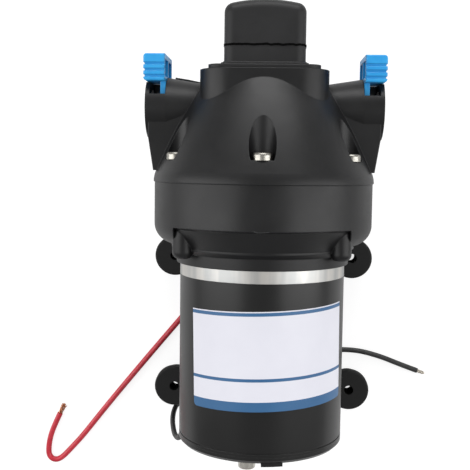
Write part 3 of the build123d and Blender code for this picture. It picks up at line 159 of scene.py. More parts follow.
black_wire = wire("black_wire", black_points, black_diameter)
for cord, node, slot in ((red_wire, "red_lead", "red_cover"), (black_wire, "black_lead", "black_cover")):
    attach(cord, "pump")
    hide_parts(node)
    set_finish(cord, slot)

# %% [markdown]
# ## A workbench for meshes
# Every new piece below starts as a `bmesh`, is shaped with mesh operators and ends in the same
# way: doubles merged, normals turned outwards, smooth shading with sharp edges kept. That ending
# is worth one function. It also hangs the piece on the pump's CAD body.

# %% Finish a mesh into a piece
smooth_angle = radians(32)


def finish_mesh(name, mesh_work, slot, replaced=(), turn_outwards=True):
    """Turn a bmesh into an object at the origin that rides on the pump."""
    bmesh.ops.remove_doubles(mesh_work, verts=mesh_work.verts, dist=0.002 * mm)
    if turn_outwards:
        bmesh.ops.recalc_face_normals(mesh_work, faces=mesh_work.faces)
    for face in mesh_work.faces:
        face.smooth = True
    for edge in mesh_work.edges:
        edge.smooth = len(edge.link_faces) == 2 and edge.calc_face_angle(0) < smooth_angle
    mesh = bpy.data.meshes.new(name)
    mesh_work.to_mesh(mesh)
    mesh_work.free()
    piece = bpy.data.objects.new(name, mesh)
    bpy.context.scene.collection.objects.link(piece)
    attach(piece, "pump")
    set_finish(piece, slot)
    for node in replaced:
        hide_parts(node)
    print(name, "faces:", len(mesh.polygons))
    return piece


# %% [markdown]
# ## Bare wire ends
# The red lead ends in loose copper strands, fanned out a little where the cover was stripped.
# Each strand is a thin round wire of its own, all in one curve object, and the strands twist
# about each other before they part. The black lead's strands are tinned into one stiff tip, so
# that is a single mesh: a ring of lobes, extruded and turned in small steps like a rope.

# %% Loose strands on the red lead
strand_count = 11
strand_radius = 0.21
bare_length = 6.8
red_end = Vector(red_points[-1])
red_way = (red_end - Vector(red_points[-2])).normalized()
red_side = red_way.cross(Vector((0, 0, 1))).normalized()

strands = bpy.data.curves.new("red_strands", "CURVE")
strands.dimensions = "3D"
strands.bevel_depth = 1.0
strands.bevel_resolution = 3
strands.use_fill_caps = True
for strand in range(strand_count):
    ring = 0.0 if strand == 0 else 0.42 if strand < 5 else 0.86
    start = strand * 2.4
    line = strands.splines.new("NURBS")
    steps = 6
    line.points.add(steps)
    for step in range(steps + 1):
        share = step / steps
        turn = start + 2.1 * share
        spread = ring * (1 + 0.75 * share * share)
        drop = 1 - 0.35 * share
        offset = red_side * (spread * cos(turn)) + Vector((0, 0, spread * sin(turn) * drop))
        reach = share * bare_length * (1 - 0.14 * abs(sin(3 * strand)))
        place = red_end + red_way * (reach - 0.6) + offset
        line.points[step].co = (*(place * mm), 1.0)
        line.points[step].radius = strand_radius * mm
    line.order_u = 4
    line.use_endpoint_u = True
red_strands = bpy.data.objects.new("red_strands", strands)
bpy.context.scene.collection.objects.link(red_strands)
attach(red_strands, "pump")
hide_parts("red_lead_strands")
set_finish(red_strands, "copper")
print("Strands:", len(strands.splines))

# %% Tinned tip on the black lead
tip_radius = 0.9
tip_length = 4.2
black_end = Vector(black_points[-1])
black_way = (black_end - Vector(black_points[-2])).normalized()
tip_frame = Matrix.Translation(black_end * mm) @ black_way.to_track_quat("Z", "Y").to_matrix().to_4x4()

tip = bmesh.new()
lobes = 7
bmesh.ops.create_circle(tip, cap_ends=True, radius=tip_radius * mm, segments=4 * lobes)
for spot in tip.verts:
    turn = atan2(spot.co.y, spot.co.x)
    spot.co *= 1 - 0.07 * (1 + cos(lobes * turn))
rows = 14
front = list(tip.faces)
for row in range(rows):
    made = bmesh.ops.extrude_face_region(tip, geom=front)
    moved = [item for item in made["geom"] if isinstance(item, bmesh.types.BMVert)]
    if row > 0:
        bmesh.ops.delete(tip, geom=front, context="FACES")
    front = [item for item in made["geom"] if isinstance(item, bmesh.types.BMFace)]
    end = (row + 1) / rows
    taper = 1.0 if end < 0.7 else 1 - 0.9 * (end - 0.7)
    bmesh.ops.translate(tip, verts=moved, vec=(0, 0, tip_length / rows * mm))
    bmesh.ops.rotate(tip, verts=moved, cent=(0, 0, 0), matrix=Matrix.Rotation(0.16, 3, "Z"))
    bmesh.ops.scale(tip, verts=moved, vec=(taper, taper, 1))
bmesh.ops.transform(tip, matrix=tip_frame, verts=tip.verts)
tinned_tip = finish_mesh("tinned_tip", tip, "tinned_tip", ["black_lead_tip"])

# %% [markdown]
# The pump's leads are both shown from end to end in the photograph, apart from what runs under
# the pump, so the lengths are the ones that their tubes have in CAD.

# %% [markdown]
# ## Grommets
# Each lead leaves its hole through a small rubber grommet: a flange against the wall and a short
# tapered nose that keeps the wire from kinking. Both are turned shapes, so a profile of a few
# points is drawn once and spun about the wire. Rounding the profile's corners before the spin
# costs almost nothing and gives the lips their soft highlights.

# %% Spin a profile about an axis
def spun(profile, steps, place):
    """A closed solid of revolution: (radius, height) points in millimetres, spun about place's Z."""
    work = bmesh.new()
    spots = [work.verts.new((radius * mm, 0, height * mm)) for radius, height in profile]
    edges = [work.edges.new(pair) for pair in zip(spots, spots[1:] + spots[:1])]
    bmesh.ops.spin(
        work, geom=spots + edges, cent=(0, 0, 0), axis=(0, 0, 1), angle=2 * pi,
        steps=steps, use_merge=True,
    )
    bmesh.ops.transform(work, matrix=place, verts=work.verts)
    return work


def grommet(name, wire_radius, place, node):
    bore = wire_radius + 0.02
    profile = [
        (bore, -1.7), (wire_radius + 0.38, -1.7), (wire_radius + 0.38, 0.03),
        (wire_radius + 1.00, 0.03), (wire_radius + 1.13, 0.14), (wire_radius + 1.15, 0.4),
        (wire_radius + 1.08, 0.78), (wire_radius + 0.86, 0.97), (wire_radius + 0.56, 1.02),
        (wire_radius + 0.50, 1.2), (wire_radius + 0.46, 1.6), (wire_radius + 0.50, 1.78),
        (wire_radius + 0.44, 2.0), (wire_radius + 0.38, 2.5), (wire_radius + 0.30, 2.9),
        (wire_radius + 0.16, 3.02), (bore, 3.02),
    ]
    return finish_mesh(name, spun(profile, 40, place), "black_rubber", [node])


can_radius = 38.0
shaft_height = 60.0
neck_width, neck_depth, neck_corner = 35.8, 41.6, 4.5
neck_underside = shaft_height - neck_depth / 2
exit_turn = radians(-125)
black_exit_y = -27.8
black_out = Vector((sin(exit_turn), 0, cos(exit_turn)))
black_hole = Vector((can_radius * black_out.x, black_exit_y, shaft_height + can_radius * black_out.z))
red_hole = Vector((*red_points[0][:2], neck_underside))
grommet(
    "black_grommet", black_diameter / 2,
    Matrix.Translation(black_hole * mm) @ black_out.to_track_quat("Z", "Y").to_matrix().to_4x4(),
    "black_lead_grommet",
)
grommet(
    "red_grommet", red_diameter / 2,
    Matrix.Translation(red_hole * mm) @ Matrix.Rotation(pi, 4, "X"), "red_lead_grommet",
)

# %% [markdown]
# ## Rating label
# The real one is a thin printed polyester film, wrapped over the can and set a little askew.
# It is cut from a flat sheet, so it is modelled flat: one face, its lower corners rounded with a
# vertex bevel, cut into narrow columns, and only then laid over the round can. A UV map taken
# from the flat sheet keeps the printed bands straight on the film. It stays bare of words.

# %% Cut, print and wrap the label
label_width, label_length = 78.6, 43.4
label_turn, label_y = radians(8.9), -0.7
label_tilt = radians(2.0)
film_radius = can_radius + 0.02
film_thickness = 0.2
corner_radius = 1.9

film = bmesh.new()
bmesh.ops.create_grid(film, x_segments=1, y_segments=1, size=0.5)
bmesh.ops.scale(film, vec=(label_width, label_length, 1), verts=film.verts)
lower_corners = [spot for spot in film.verts if spot.co.y < 0]
bmesh.ops.bevel(
    film, geom=lower_corners, offset=corner_radius, offset_type="OFFSET", affect="VERTICES",
    segments=6, profile=0.5, material=-1,
)
sheet_map = film.loops.layers.uv.new("film")
for face in film.faces:
    for loop in face.loops:
        flat = loop.vert.co
        loop[sheet_map].uv = (flat.x / label_width + 0.5, flat.y / label_length + 0.5)
bmesh.ops.rotate(film, verts=film.verts, cent=(0, 0, 0), matrix=Matrix.Rotation(label_tilt, 3, "Z"))
columns = 64
for column in range(1, columns):
    across = (column / columns - 0.5) * (label_width + label_length * sin(label_tilt))
    bmesh.ops.bisect_plane(
        film, geom=film.verts[:] + film.edges[:] + film.faces[:],
        plane_co=(across, 0, 0), plane_no=(1, 0, 0),
    )
for spot in film.verts:
    turn = label_turn + spot.co.x / film_radius
    spot.co = (film_radius * sin(turn), label_y + spot.co.y, shaft_height + film_radius * cos(turn))
bmesh.ops.recalc_face_normals(film, faces=film.faces)
if film.faces[:][0].normal.z < 0:
    bmesh.ops.reverse_faces(film, faces=film.faces)
bmesh.ops.scale(film, vec=(mm, mm, mm), verts=film.verts)
bmesh.ops.solidify(film, geom=film.faces[:], thickness=-film_thickness * mm)
label = finish_mesh("label_film", film, "label_film", ["rating_label"])

# %% [markdown]
# ## Marks of moulding and assembly
# Three small things catch the eye on the head. The switch's cover is sealed to its neck with a
# bead that squeezed out unevenly, a thin line of flash stands on the left port's arm, and the
# lower housing has a little v at its step where the two halves of the mould met. They are
# modelled, not painted, because they break the outline or hold a shadow. The bead is a flat
# outline at first: noise pushes its points in and out, and solidify then gives it a thickness.

# %% Sealant bead under the switch's cover
neck_top_y = 134.8
bead_width, bead_thickness = 0.7, 0.9
bead = bmesh.new()
bmesh.ops.create_grid(bead, x_segments=1, y_segments=1, size=0.5)
bmesh.ops.scale(bead, vec=(neck_width, neck_depth, 1), verts=bead.verts)
bmesh.ops.bevel(
    bead, geom=bead.verts[:], offset=neck_corner, offset_type="OFFSET", affect="VERTICES",
    segments=8, profile=0.5, material=-1,
)
bmesh.ops.subdivide_edges(
    bead, edges=[edge for edge in bead.edges if edge.calc_length() > 5], cuts=44,
    use_grid_fill=False,
)
inner = bmesh.ops.inset_region(
    bead, faces=bead.faces[:], thickness=bead_width, use_boundary=True, use_even_offset=True,
)
middle = [face for face in bead.faces if face not in inner["faces"]]
bmesh.ops.delete(bead, geom=middle, context="FACES")
for spot in bead.verts:
    away = Vector((spot.co.x, spot.co.y, 0)).normalized()
    ragged = noise.noise(spot.co * 0.45) + 0.6 * noise.noise(spot.co * 1.3)
    spot.co += away * (0.3 + 0.22 * ragged)
    spot.co.z = 0.35 * noise.noise(spot.co * 0.6 + Vector((7, 3, 1)))
bmesh.ops.solidify(bead, geom=bead.faces[:], thickness=bead_thickness)
bmesh.ops.translate(bead, verts=bead.verts, vec=(0, 0, bead_thickness / 2))
stand = Matrix.Translation((0, neck_top_y * mm, shaft_height * mm)) @ Matrix.Rotation(-pi / 2, 4, "X")
bmesh.ops.scale(bead, vec=(mm, mm, mm), verts=bead.verts)
bmesh.ops.transform(bead, matrix=stand, verts=bead.verts)
sealant = finish_mesh("cover_sealant", bead, "black_rubber")

# %% Flash on the left arm and at the lower housing's step
arm_flash = [(-41.0, 120.5), (-41.0, 122.2), (-35.0, 121.3), (-28.0, 119.9), (-28.0, 119.0)]
step_flash = [(-3.4, 56.0), (-3.4, 55.7), (-1.0, 54.9), (3.4, 55.5), (3.4, 55.9), (-1.0, 55.6)]
marks = bmesh.new()
for outline, low, high in ((arm_flash, 59.6, 60.4), (step_flash, 109.6, 110.15)):
    sheet = marks.faces.new([marks.verts.new((x, y, low)) for x, y in outline])
    raised = bmesh.ops.extrude_face_region(marks, geom=[sheet])
    lifted = [item for item in raised["geom"] if isinstance(item, bmesh.types.BMVert)]
    bmesh.ops.translate(marks, verts=lifted, vec=(0, 0, high - low))
bmesh.ops.scale(marks, vec=(mm, mm, mm), verts=marks.verts)
moulding_flash = finish_mesh("moulding_flash", marks, "black_moulding")


# %% [markdown]
# ## Finishes
# A finish is a small tree of shader nodes. One function turns the hex colours, which are picked
# as the eye sees them, into the linear values that Blender wants, and one adds a node with its
# settings and links. Patterns read Object coordinates: the pieces stay at the origin, so a
# coordinate is a real place on the pump and a scale is a real size.

# %% Two helpers for materials
def linear(code):
    """Linear colour of an sRGB hex value."""
    parts = [int(code[place:place + 2], 16) / 255 for place in (0, 2, 4)]
    return [part / 12.92 if part <= 0.04045 else ((part + 0.055) / 1.055) ** 2.4 for part in parts] + [1.0]


def add(tree, kind, inputs=None, **settings):
    """Add a node. Inputs map a socket's name or number to a value or to another node's output."""
    made = tree.nodes.new("ShaderNode" + kind)
    for name, value in settings.items():
        setattr(made, name, value)
    for socket, value in (inputs or {}).items():
        if isinstance(value, bpy.types.NodeSocket):
            tree.links.new(value, made.inputs[socket])
        else:
            made.inputs[socket].default_value = value
    return made


def connect(tree, surface, colour, gloss, relief):
    """Link the three outputs that every finish works out to the surface shader."""
    for socket, value in (("Base Color", colour), ("Roughness", gloss), ("Normal", relief)):
        tree.links.new(value, surface.inputs[socket])


def start(name):
    """A new material, with its tree, its surface shader and its Object coordinates."""
    material = bpy.data.materials.new(name)
    material.use_nodes = True
    tree = material.node_tree
    tree.nodes.clear()
    surface = add(tree, "BsdfPrincipled")
    add(tree, "OutputMaterial", {"Surface": surface.outputs["BSDF"]})
    return material, tree, surface, add(tree, "TexCoord").outputs["Object"]


# %% [markdown]
# ### Black glass-filled nylon
# The housings are injection moulded in nylon with glass fibre. The mould is spark eroded, which
# leaves a fine even grain that scatters the light into broad soft highlights, and the fibres
# grey the black a little. Slow clouds in colour and roughness stand for the melt's flow marks.
# Moulded corners are never sharp: a Bevel node rounds them in shading, and where it turns the
# normal, the colour is lifted towards a paler edge colour: a painted edge highlight. The grain
# is 0.25 mm, coarser than real, because a finer one wouldn't show.

# %% Moulded black plastics
# The edge colour is a painted edge highlight, laid on corners and seams alike.
def moulded_black(name, dark, pale, edge, roughness, corner, grain=0.25, depth=0.018, shine=0.34):
    material, tree, surface, place = start(name)
    clouds = add(tree, "TexNoise", {"Vector": place, "Scale": 1 / 0.022, "Detail": 4.0, "Roughness": 0.6})
    speck = add(tree, "TexNoise", {"Vector": place, "Scale": 1 / (grain * mm), "Detail": 2.0})
    tone = add(tree, "MapRange", {"Value": clouds.outputs["Fac"], "From Min": 0.35, "From Max": 0.68})
    plain = add(tree, "Mix", {0: tone.outputs["Result"], 6: linear(dark), 7: linear(pale)}, data_type="RGBA")
    grown = add(tree, "MapRange", {
        "Value": speck.outputs["Fac"], "From Min": 0.3, "From Max": 0.7, "To Min": 0.82, "To Max": 1.18,
    })
    grey = add(tree, "Mix", {0: 1.0, 6: plain.outputs[2], 7: grown.outputs["Result"]},
               data_type="RGBA", blend_type="MULTIPLY")
    rounded = add(tree, "Bevel", {"Radius": corner * mm}, samples=6)
    shape = add(tree, "NewGeometry")
    even = add(tree, "VectorMath", {0: rounded.outputs["Normal"], 1: shape.outputs["Normal"]},
               operation="DOT_PRODUCT")
    # Painted edge highlight: the colour turns towards the pale edge colour where the Bevel normal leaves the
    # true normal.
    painted_edge_highlight = add(tree, "MapRange", {
        "Value": even.outputs["Value"], "From Min": 0.995, "From Max": 0.86, "To Min": 0.0, "To Max": 0.75,
    })
    coloured = add(tree, "Mix", {0: painted_edge_highlight.outputs["Result"], 6: grey.outputs[2], 7: linear(edge)},
                   data_type="RGBA")
    gloss = add(tree, "MapRange", {
        "Value": clouds.outputs["Fac"], "From Min": 0.3, "From Max": 0.7,
        "To Min": roughness - 0.05, "To Max": roughness + 0.06,
    })
    relief = add(tree, "Bump", {
        "Height": speck.outputs["Fac"], "Distance": depth * mm, "Strength": 0.8,
        "Normal": rounded.outputs["Normal"],
    })
    connect(tree, surface, coloured.outputs[2], gloss.outputs["Result"], relief.outputs["Normal"])
    surface.inputs["IOR"].default_value = 1.53
    surface.inputs["Specular IOR Level"].default_value = shine
    return material


# The third colour of each finish is its painted edge highlight.
nylon_black = moulded_black("nylon_black_spark_eroded", "0d0d0e", "151516", "2c2d2e", 0.42, 0.55)
cover_black = moulded_black("nylon_black_switch_cover", "151516", "1e1e1f", "343435", 0.50, 0.8)
rubber_black = moulded_black("rubber_black_moulded", "0c0c0c", "121212", "1e1e1e", 0.62, 0.4, 0.4, 0.03)
sealant_black = moulded_black("sealant_black", "030303", "050505", "060606", 0.8, 0.2, 0.4, 0.05, 0.05)

# %% [markdown]
# ### Blue clips
# The clips are unpainted acetal from a polished mould: an even sky blue with a satin gloss. A
# faint cloud in the colour and the same rounded corners are enough.

# %% Moulded bright plastics
def moulded_plain(name, dark, pale, roughness, corner, soft=0.0):
    material, tree, surface, place = start(name)
    clouds = add(tree, "TexNoise", {"Vector": place, "Scale": 1 / 0.006, "Detail": 3.0})
    tone = add(tree, "MapRange", {"Value": clouds.outputs["Fac"], "From Min": 0.35, "From Max": 0.65})
    colour = add(tree, "Mix", {0: tone.outputs["Result"], 6: linear(dark), 7: linear(pale)}, data_type="RGBA")
    gloss = add(tree, "MapRange", {
        "Value": clouds.outputs["Fac"], "To Min": roughness - 0.06, "To Max": roughness + 0.08,
    })
    rounded = add(tree, "Bevel", {"Radius": corner * mm}, samples=6)
    skin = add(tree, "TexNoise", {"Vector": place, "Scale": 1 / 0.0005, "Detail": 1.0})
    relief = add(tree, "Bump", {
        "Height": skin.outputs["Fac"], "Distance": 0.006 * mm, "Normal": rounded.outputs["Normal"],
    })
    connect(tree, surface, colour.outputs[2], gloss.outputs["Result"], relief.outputs["Normal"])
    surface.inputs["IOR"].default_value = 1.48
    surface.inputs["Subsurface Weight"].default_value = soft
    surface.inputs["Subsurface Scale"].default_value = 0.002
    return material


acetal_blue = moulded_plain("acetal_blue", "2296dc", "2ea4e4", 0.34, 0.6)
acetal_white = moulded_plain("acetal_white", "dcdcd4", "e8e8e2", 0.38, 0.3)
laminate_brown = moulded_plain("laminate_brown", "5a3a22", "6c482c", 0.55, 0.1)
carbon_grey = moulded_plain("carbon_pressed", "202022", "2c2c2e", 0.6, 0.2)
ferrite_grey = moulded_plain("ferrite_sintered", "333336", "3f3f42", 0.55, 0.3)

# %% [markdown]
# ### Black enamel on the can
# The can and its end bell are rolled steel under a baked satin enamel. Paint flows before it
# hardens, so its relief isn't a grain but a low wide ripple, the orange peel, and its gloss is
# higher than the plastic's. That gives the long soft streaks along the can's flanks.

# %% Baked enamel
def enamel(name, dark, pale, roughness, corner=0.3):
    material, tree, surface, place = start(name)
    clouds = add(tree, "TexNoise", {"Vector": place, "Scale": 1 / 0.03, "Detail": 3.0})
    peel = add(tree, "TexNoise", {"Vector": place, "Scale": 1 / 0.0012, "Detail": 2.0, "Roughness": 0.4})
    dust = add(tree, "TexVoronoi", {"Vector": place, "Scale": 1 / 0.009, "Randomness": 1.0})
    tone = add(tree, "MapRange", {"Value": clouds.outputs["Fac"], "From Min": 0.35, "From Max": 0.65})
    colour = add(tree, "Mix", {0: tone.outputs["Result"], 6: linear(dark), 7: linear(pale)}, data_type="RGBA")
    fleck = add(tree, "MapRange", {
        "Value": dust.outputs["Distance"], "From Min": 0.02, "From Max": 0.014, "To Min": 0.0, "To Max": 0.5,
    })
    flecked = add(tree, "Mix", {0: fleck.outputs["Result"], 6: colour.outputs[2], 7: linear("55555a")},
                  data_type="RGBA")
    gloss = add(tree, "MapRange", {
        "Value": clouds.outputs["Fac"], "To Min": roughness - 0.06, "To Max": roughness + 0.06,
    })
    rounded = add(tree, "Bevel", {"Radius": corner * mm}, samples=6)
    relief = add(tree, "Bump", {
        "Height": peel.outputs["Fac"], "Distance": 0.010 * mm, "Strength": 0.7,
        "Normal": rounded.outputs["Normal"],
    })
    connect(tree, surface, flecked.outputs[2], gloss.outputs["Result"], relief.outputs["Normal"])
    surface.inputs["Specular IOR Level"].default_value = 0.45
    return material


enamel_black = enamel("enamel_black_baked", "080808", "0e0e0e", 0.32)
enamel_plate = enamel("enamel_black_plate", "0b0b0b", "101010", 0.44)

# %% [markdown]
# ### Turned aluminium
# The front plate is turned on a lathe, so its rim carries fine rings that run round the shaft.
# Rings spread a highlight along the shaft and leave it narrow across, which makes the bands of
# light and dark. The rings' bump reads the distance along the shaft, and the surface's
# anisotropy follows the rings: their direction is the cross product of shaft and normal.

# %% Lathe-turned metal
def turned_metal(name, dark, pale, roughness, pitch=0.12):
    material, tree, surface, place = start(name)
    along = add(tree, "SeparateXYZ", {"Vector": place})
    rings = add(tree, "TexNoise", {"W": along.outputs["Y"], "Scale": 1 / (pitch * mm), "Detail": 2.0},
                noise_dimensions="1D")
    stretched = add(tree, "VectorMath", {0: place, 1: (1.0, 0.12, 1.0)}, operation="MULTIPLY")
    streaks = add(tree, "TexNoise", {
        "Vector": stretched.outputs["Vector"], "Scale": 1 / 0.007, "Detail": 3.0,
    })
    tone = add(tree, "MapRange", {"Value": streaks.outputs["Fac"], "From Min": 0.36, "From Max": 0.64})
    colour = add(tree, "Mix", {0: tone.outputs["Result"], 6: linear(dark), 7: linear(pale)}, data_type="RGBA")
    gloss = add(tree, "MapRange", {
        "Value": rings.outputs["Fac"], "To Min": roughness - 0.06, "To Max": roughness + 0.08,
    })
    shape = add(tree, "NewGeometry")
    way = add(tree, "VectorMath", {0: (0.0, 1.0, 0.0), 1: shape.outputs["Normal"]}, operation="CROSS_PRODUCT")
    rounded = add(tree, "Bevel", {"Radius": 0.2 * mm}, samples=4)
    relief = add(tree, "Bump", {
        "Height": rings.outputs["Fac"], "Distance": 0.004 * mm, "Strength": 0.6,
        "Normal": rounded.outputs["Normal"],
    })
    connect(tree, surface, colour.outputs[2], gloss.outputs["Result"], relief.outputs["Normal"])
    tree.links.new(way.outputs["Vector"], surface.inputs["Tangent"])
    surface.inputs["Metallic"].default_value = 1.0
    surface.inputs["Anisotropic"].default_value = 0.4
    return material


aluminium_turned = turned_metal("aluminium_turned", "aeafae", "ccc9c4", 0.38)
steel_ground = turned_metal("steel_ground", "a9acb0", "c2c4c6", 0.2, 0.06)
copper_turned = turned_metal("copper_turned", "b8704a", "cc8660", 0.3, 0.1)

# %% [markdown]
# ### Plated and drawn metals
# Zinc plate has tiny crystals and fingerprints rather than rings: small patches that differ a
# little in tone and gloss. The same tree with other colours serves spring wire, brass, tinned
# copper, sintered bronze and the die-cast cam.

# %% Plated metal
def plated_metal(name, dark, pale, roughness, patch=0.0009, corner=0.2):
    material, tree, surface, place = start(name)
    patches = add(tree, "TexVoronoi", {"Vector": place, "Scale": 1 / patch})
    smear = add(tree, "TexNoise", {"Vector": place, "Scale": 1 / 0.004, "Detail": 4.0})
    blend = add(tree, "Math", {0: patches.outputs["Distance"], 1: smear.outputs["Fac"], 2: 0.25},
                operation="MULTIPLY_ADD")
    colour = add(tree, "Mix", {0: blend.outputs["Value"], 6: linear(dark), 7: linear(pale)}, data_type="RGBA")
    gloss = add(tree, "MapRange", {
        "Value": smear.outputs["Fac"], "To Min": roughness - 0.07, "To Max": roughness + 0.1,
    })
    rounded = add(tree, "Bevel", {"Radius": corner * mm}, samples=6)
    relief = add(tree, "Bump", {
        "Height": patches.outputs["Distance"], "Distance": 0.004 * mm, "Normal": rounded.outputs["Normal"],
    })
    connect(tree, surface, colour.outputs[2], gloss.outputs["Result"], relief.outputs["Normal"])
    surface.inputs["Metallic"].default_value = 1.0
    return material


zinc_plate = plated_metal("steel_zinc_plated", "7d7b75", "b9b6ae", 0.32)
zinc_bright = plated_metal("steel_zinc_bright", "b0ada5", "dedbd3", 0.28)
spring_wire = plated_metal("spring_steel_drawn", "8a8b8d", "a6a7a9", 0.28)
lamination = plated_metal("lamination_steel", "6e7074", "888a8e", 0.42)
brass_sheet = plated_metal("brass_pressed", "b08d45", "cfae62", 0.3)
bronze_bush = plated_metal("bronze_sintered", "8f6c40", "a88352", 0.48, 0.0004)
cast_alloy = plated_metal("zinc_die_cast", "85878a", "9c9ea0", 0.45, 0.0006)
copper_bright = plated_metal("copper_drawn", "b06a48", "d79a74", 0.28, 0.0005)
copper_enamelled = plated_metal("copper_enamelled", "7c3c1c", "9c5430", 0.3, 0.0008)
tinned_copper = plated_metal("copper_tinned", "a3998c", "cfc8bd", 0.3, 0.0005)


# %% [markdown]
# ### Wire covers
# PVC cover comes out of an extruder, so any waviness runs along the wire. A curve has no UV of
# its own, so the pattern stays a fine mottle in Object coordinates, with a soft gloss on top.

# %% Extruded wire covers
def wire_cover(name, dark, pale, roughness):
    material, tree, surface, place = start(name)
    mottle = add(tree, "TexNoise", {"Vector": place, "Scale": 1 / 0.0035, "Detail": 4.0})
    tone = add(tree, "MapRange", {"Value": mottle.outputs["Fac"], "From Min": 0.35, "From Max": 0.65})
    colour = add(tree, "Mix", {0: tone.outputs["Result"], 6: linear(dark), 7: linear(pale)}, data_type="RGBA")
    gloss = add(tree, "MapRange", {
        "Value": mottle.outputs["Fac"], "To Min": roughness - 0.06, "To Max": roughness + 0.1,
    })
    skin = add(tree, "TexNoise", {"Vector": place, "Scale": 1 / 0.0009, "Detail": 2.0})
    relief = add(tree, "Bump", {"Height": skin.outputs["Fac"], "Distance": 0.012 * mm})
    connect(tree, surface, colour.outputs[2], gloss.outputs["Result"], relief.outputs["Normal"])
    surface.inputs["IOR"].default_value = 1.53
    return material


pvc_red = wire_cover("pvc_red_extruded", "bc2334", "cc3040", 0.34)
pvc_black = wire_cover("pvc_black_extruded", "262626", "323232", 0.38)


# %% [markdown]
# ### Printed film
# The label is white polyester with three blue bands printed across it: a line near the top, a
# line above the foot and a wide band at the foot. The bands read the sheet's UV map, so they
# keep straight edges on the film however it is wrapped. Its relief is a low, wide ripple.

# %% Label film
def printed_film(name):
    material, tree, surface, place = start(name)
    sheet = add(tree, "UVMap", uv_map="film")
    down = add(tree, "SeparateXYZ", {"Vector": sheet.outputs["UV"]})
    ink = None
    for low, high in ((0.0, 4.2), (13.0, 14.4), (41.4, 42.9)):
        over = add(tree, "Math", {0: down.outputs["Y"], 1: low / label_length - 1e-4},
                   operation="GREATER_THAN")
        under = add(tree, "Math", {0: down.outputs["Y"], 1: high / label_length}, operation="LESS_THAN")
        band = add(tree, "Math", {0: over.outputs["Value"], 1: under.outputs["Value"]},
                   operation="MULTIPLY").outputs["Value"]
        ink = band if ink is None else add(tree, "Math", {0: ink, 1: band}, operation="MAXIMUM").outputs[0]
    mottle = add(tree, "TexNoise", {"Vector": place, "Scale": 1 / 0.012, "Detail": 3.0})
    white = add(tree, "Mix", {0: mottle.outputs["Fac"], 6: linear("e2e2ec"), 7: linear("eaeaf3")},
                data_type="RGBA")
    blue = add(tree, "Mix", {0: mottle.outputs["Fac"], 6: linear("2f5f8c"), 7: linear("3a6c9a")},
               data_type="RGBA")
    printed = add(tree, "Mix", {0: ink, 6: white.outputs[2], 7: blue.outputs[2]}, data_type="RGBA")
    ripple = add(tree, "TexNoise", {"Vector": place, "Scale": 1 / 0.005, "Detail": 1.0})
    relief = add(tree, "Bump", {"Height": ripple.outputs["Fac"], "Distance": 0.01 * mm})
    gloss = add(tree, "MapRange", {"Value": mottle.outputs["Fac"], "To Min": 0.34, "To Max": 0.46})
    connect(tree, surface, printed.outputs[2], gloss.outputs["Result"], relief.outputs["Normal"])
    return material


film_printed = printed_film("polyester_film_printed")

# %% [markdown]
# ## Dressing the CAD pieces
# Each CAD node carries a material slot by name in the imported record, so one table from slot to
# finish dresses all of them. A few pieces differ from their slot: the switch's cover has its own
# grain, the plate under the can is painted thinner than the can, the bolt heads are brighter and
# the sealant is duller than the rubber.

# %% Give every node its finish
finishes = {
    "black_moulding": nylon_black, "blue_moulding": acetal_blue, "black_paint": enamel_black,
    "turned_aluminium": aluminium_turned, "plated_steel": zinc_plate, "bearing_steel": steel_ground,
    "lamination_steel": lamination, "spring_steel": spring_wire, "ferrite": ferrite_grey,
    "copper": copper_bright, "winding_wire": copper_enamelled, "carbon": carbon_grey,
    "brass": brass_sheet, "sintered_bronze": bronze_bush, "card": laminate_brown,
    "black_rubber": rubber_black, "white_moulding": acetal_white, "die_cast": cast_alloy,
    "label_film": film_printed, "red_cover": pvc_red, "black_cover": pvc_black,
    "tinned_tip": tinned_copper,
}
special = {
    "switch_cover": cover_black, "switch_base": cover_black, "base_plate": enamel_plate,
    "commutator": copper_turned, "cover_sealant": sealant_black,
    "through_bolts": zinc_bright, "bolt_washers": zinc_bright,
}
slot_of = {part["node"]: part["material_slot"] for part in frame["record"]["subparts"]}
for name, piece in frame["nodes"].items():
    finish = special.get(name, finishes[slot_of[name]])
    piece.data.materials.clear()
    piece.data.materials.append(finish)
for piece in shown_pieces():
    if "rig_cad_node" not in piece:
        piece.data.materials.clear()
        piece.data.materials.append(special.get(piece.name, finishes[piece["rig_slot"]]))
print("Nodes dressed:", len(frame["nodes"]))

# %% [markdown]
# ## Floor and light
# The pump was photographed on white. The floor is a plain white sheet that still takes a shadow,
# lifted to white for the camera alone. Large soft lamps on both sides draw the pale streaks
# along the can and the dome, a broad one beyond the nose lights the head, and the world adds an
# even glow, so colours render about as they were picked.

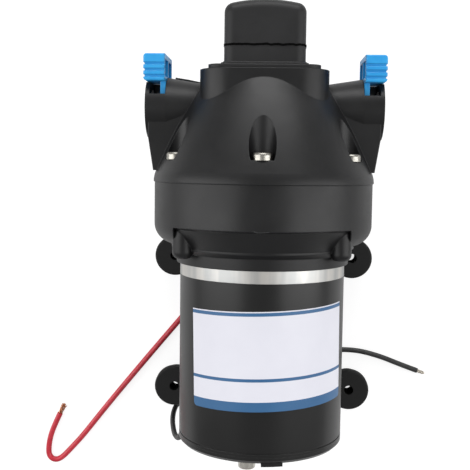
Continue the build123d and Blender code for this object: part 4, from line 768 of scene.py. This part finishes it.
# %% Floor
floor_work = bmesh.new()
bmesh.ops.create_grid(floor_work, x_segments=1, y_segments=1, size=0.35)
floor_mesh = bpy.data.meshes.new("floor")
floor_work.to_mesh(floor_mesh)
floor_work.free()
floor = bpy.data.objects.new("floor", floor_mesh)
bpy.context.scene.collection.objects.link(floor)
floor.location.z = -0.0002

floor_paint = bpy.data.materials.new("floor_white")
floor_paint.use_nodes = True
tree = floor_paint.node_tree
tree.nodes.clear()
sheet_white = add(tree, "BsdfDiffuse", {"Color": linear("f2f2f2")})
glow = add(tree, "Emission", {"Color": linear("ffffff"), "Strength": 1.3})
rays = add(tree, "LightPath")
seen = add(tree, "Math", {0: rays.outputs["Is Camera Ray"], 1: 0.62}, operation="MULTIPLY")
lifted = add(tree, "MixShader", {
    0: seen.outputs["Value"], 1: sheet_white.outputs["BSDF"], 2: glow.outputs["Emission"],
})
add(tree, "OutputMaterial", {"Surface": lifted.outputs["Shader"]})
floor_mesh.materials.append(floor_paint)

# %% World and lamps
world = bpy.data.worlds.new("studio")
bpy.context.scene.world = world
world.use_nodes = True
tree = world.node_tree
tree.nodes.clear()
rays = add(tree, "LightPath")
even = add(tree, "Background", {"Color": linear("ffffff"), "Strength": 0.46})
white = add(tree, "Background", {"Color": linear("ffffff"), "Strength": 1.0})
shown = add(tree, "MixShader", {
    0: rays.outputs["Is Camera Ray"], 1: even.outputs["Background"], 2: white.outputs["Background"],
})
add(tree, "OutputWorld", {"Surface": shown.outputs["Shader"]})


def softbox(name, place, target, size, power):
    """A square lamp that faces a target."""
    data = bpy.data.lights.new(name, "AREA")
    data.shape = "RECTANGLE"
    data.size, data.size_y = size
    data.energy = power
    lamp = bpy.data.objects.new(name, data)
    bpy.context.scene.collection.objects.link(lamp)
    lamp.location = place
    lamp.rotation_euler = (Vector(target) - Vector(place)).to_track_quat("-Z", "Y").to_euler()
    return lamp


pump_middle = (0, 0.045, 0.05)
softbox("left_softbox", (-0.75, 0.10, 0.55), pump_middle, (0.35, 1.1), 4.2)
softbox("right_softbox", (0.80, 0.05, 0.60), pump_middle, (0.30, 1.1), 4.2)
softbox("nose_softbox", (0.06, 1.0, 0.42), pump_middle, (0.9, 0.4), 6.0)
bpy.context.scene.view_settings.view_transform = "Standard"
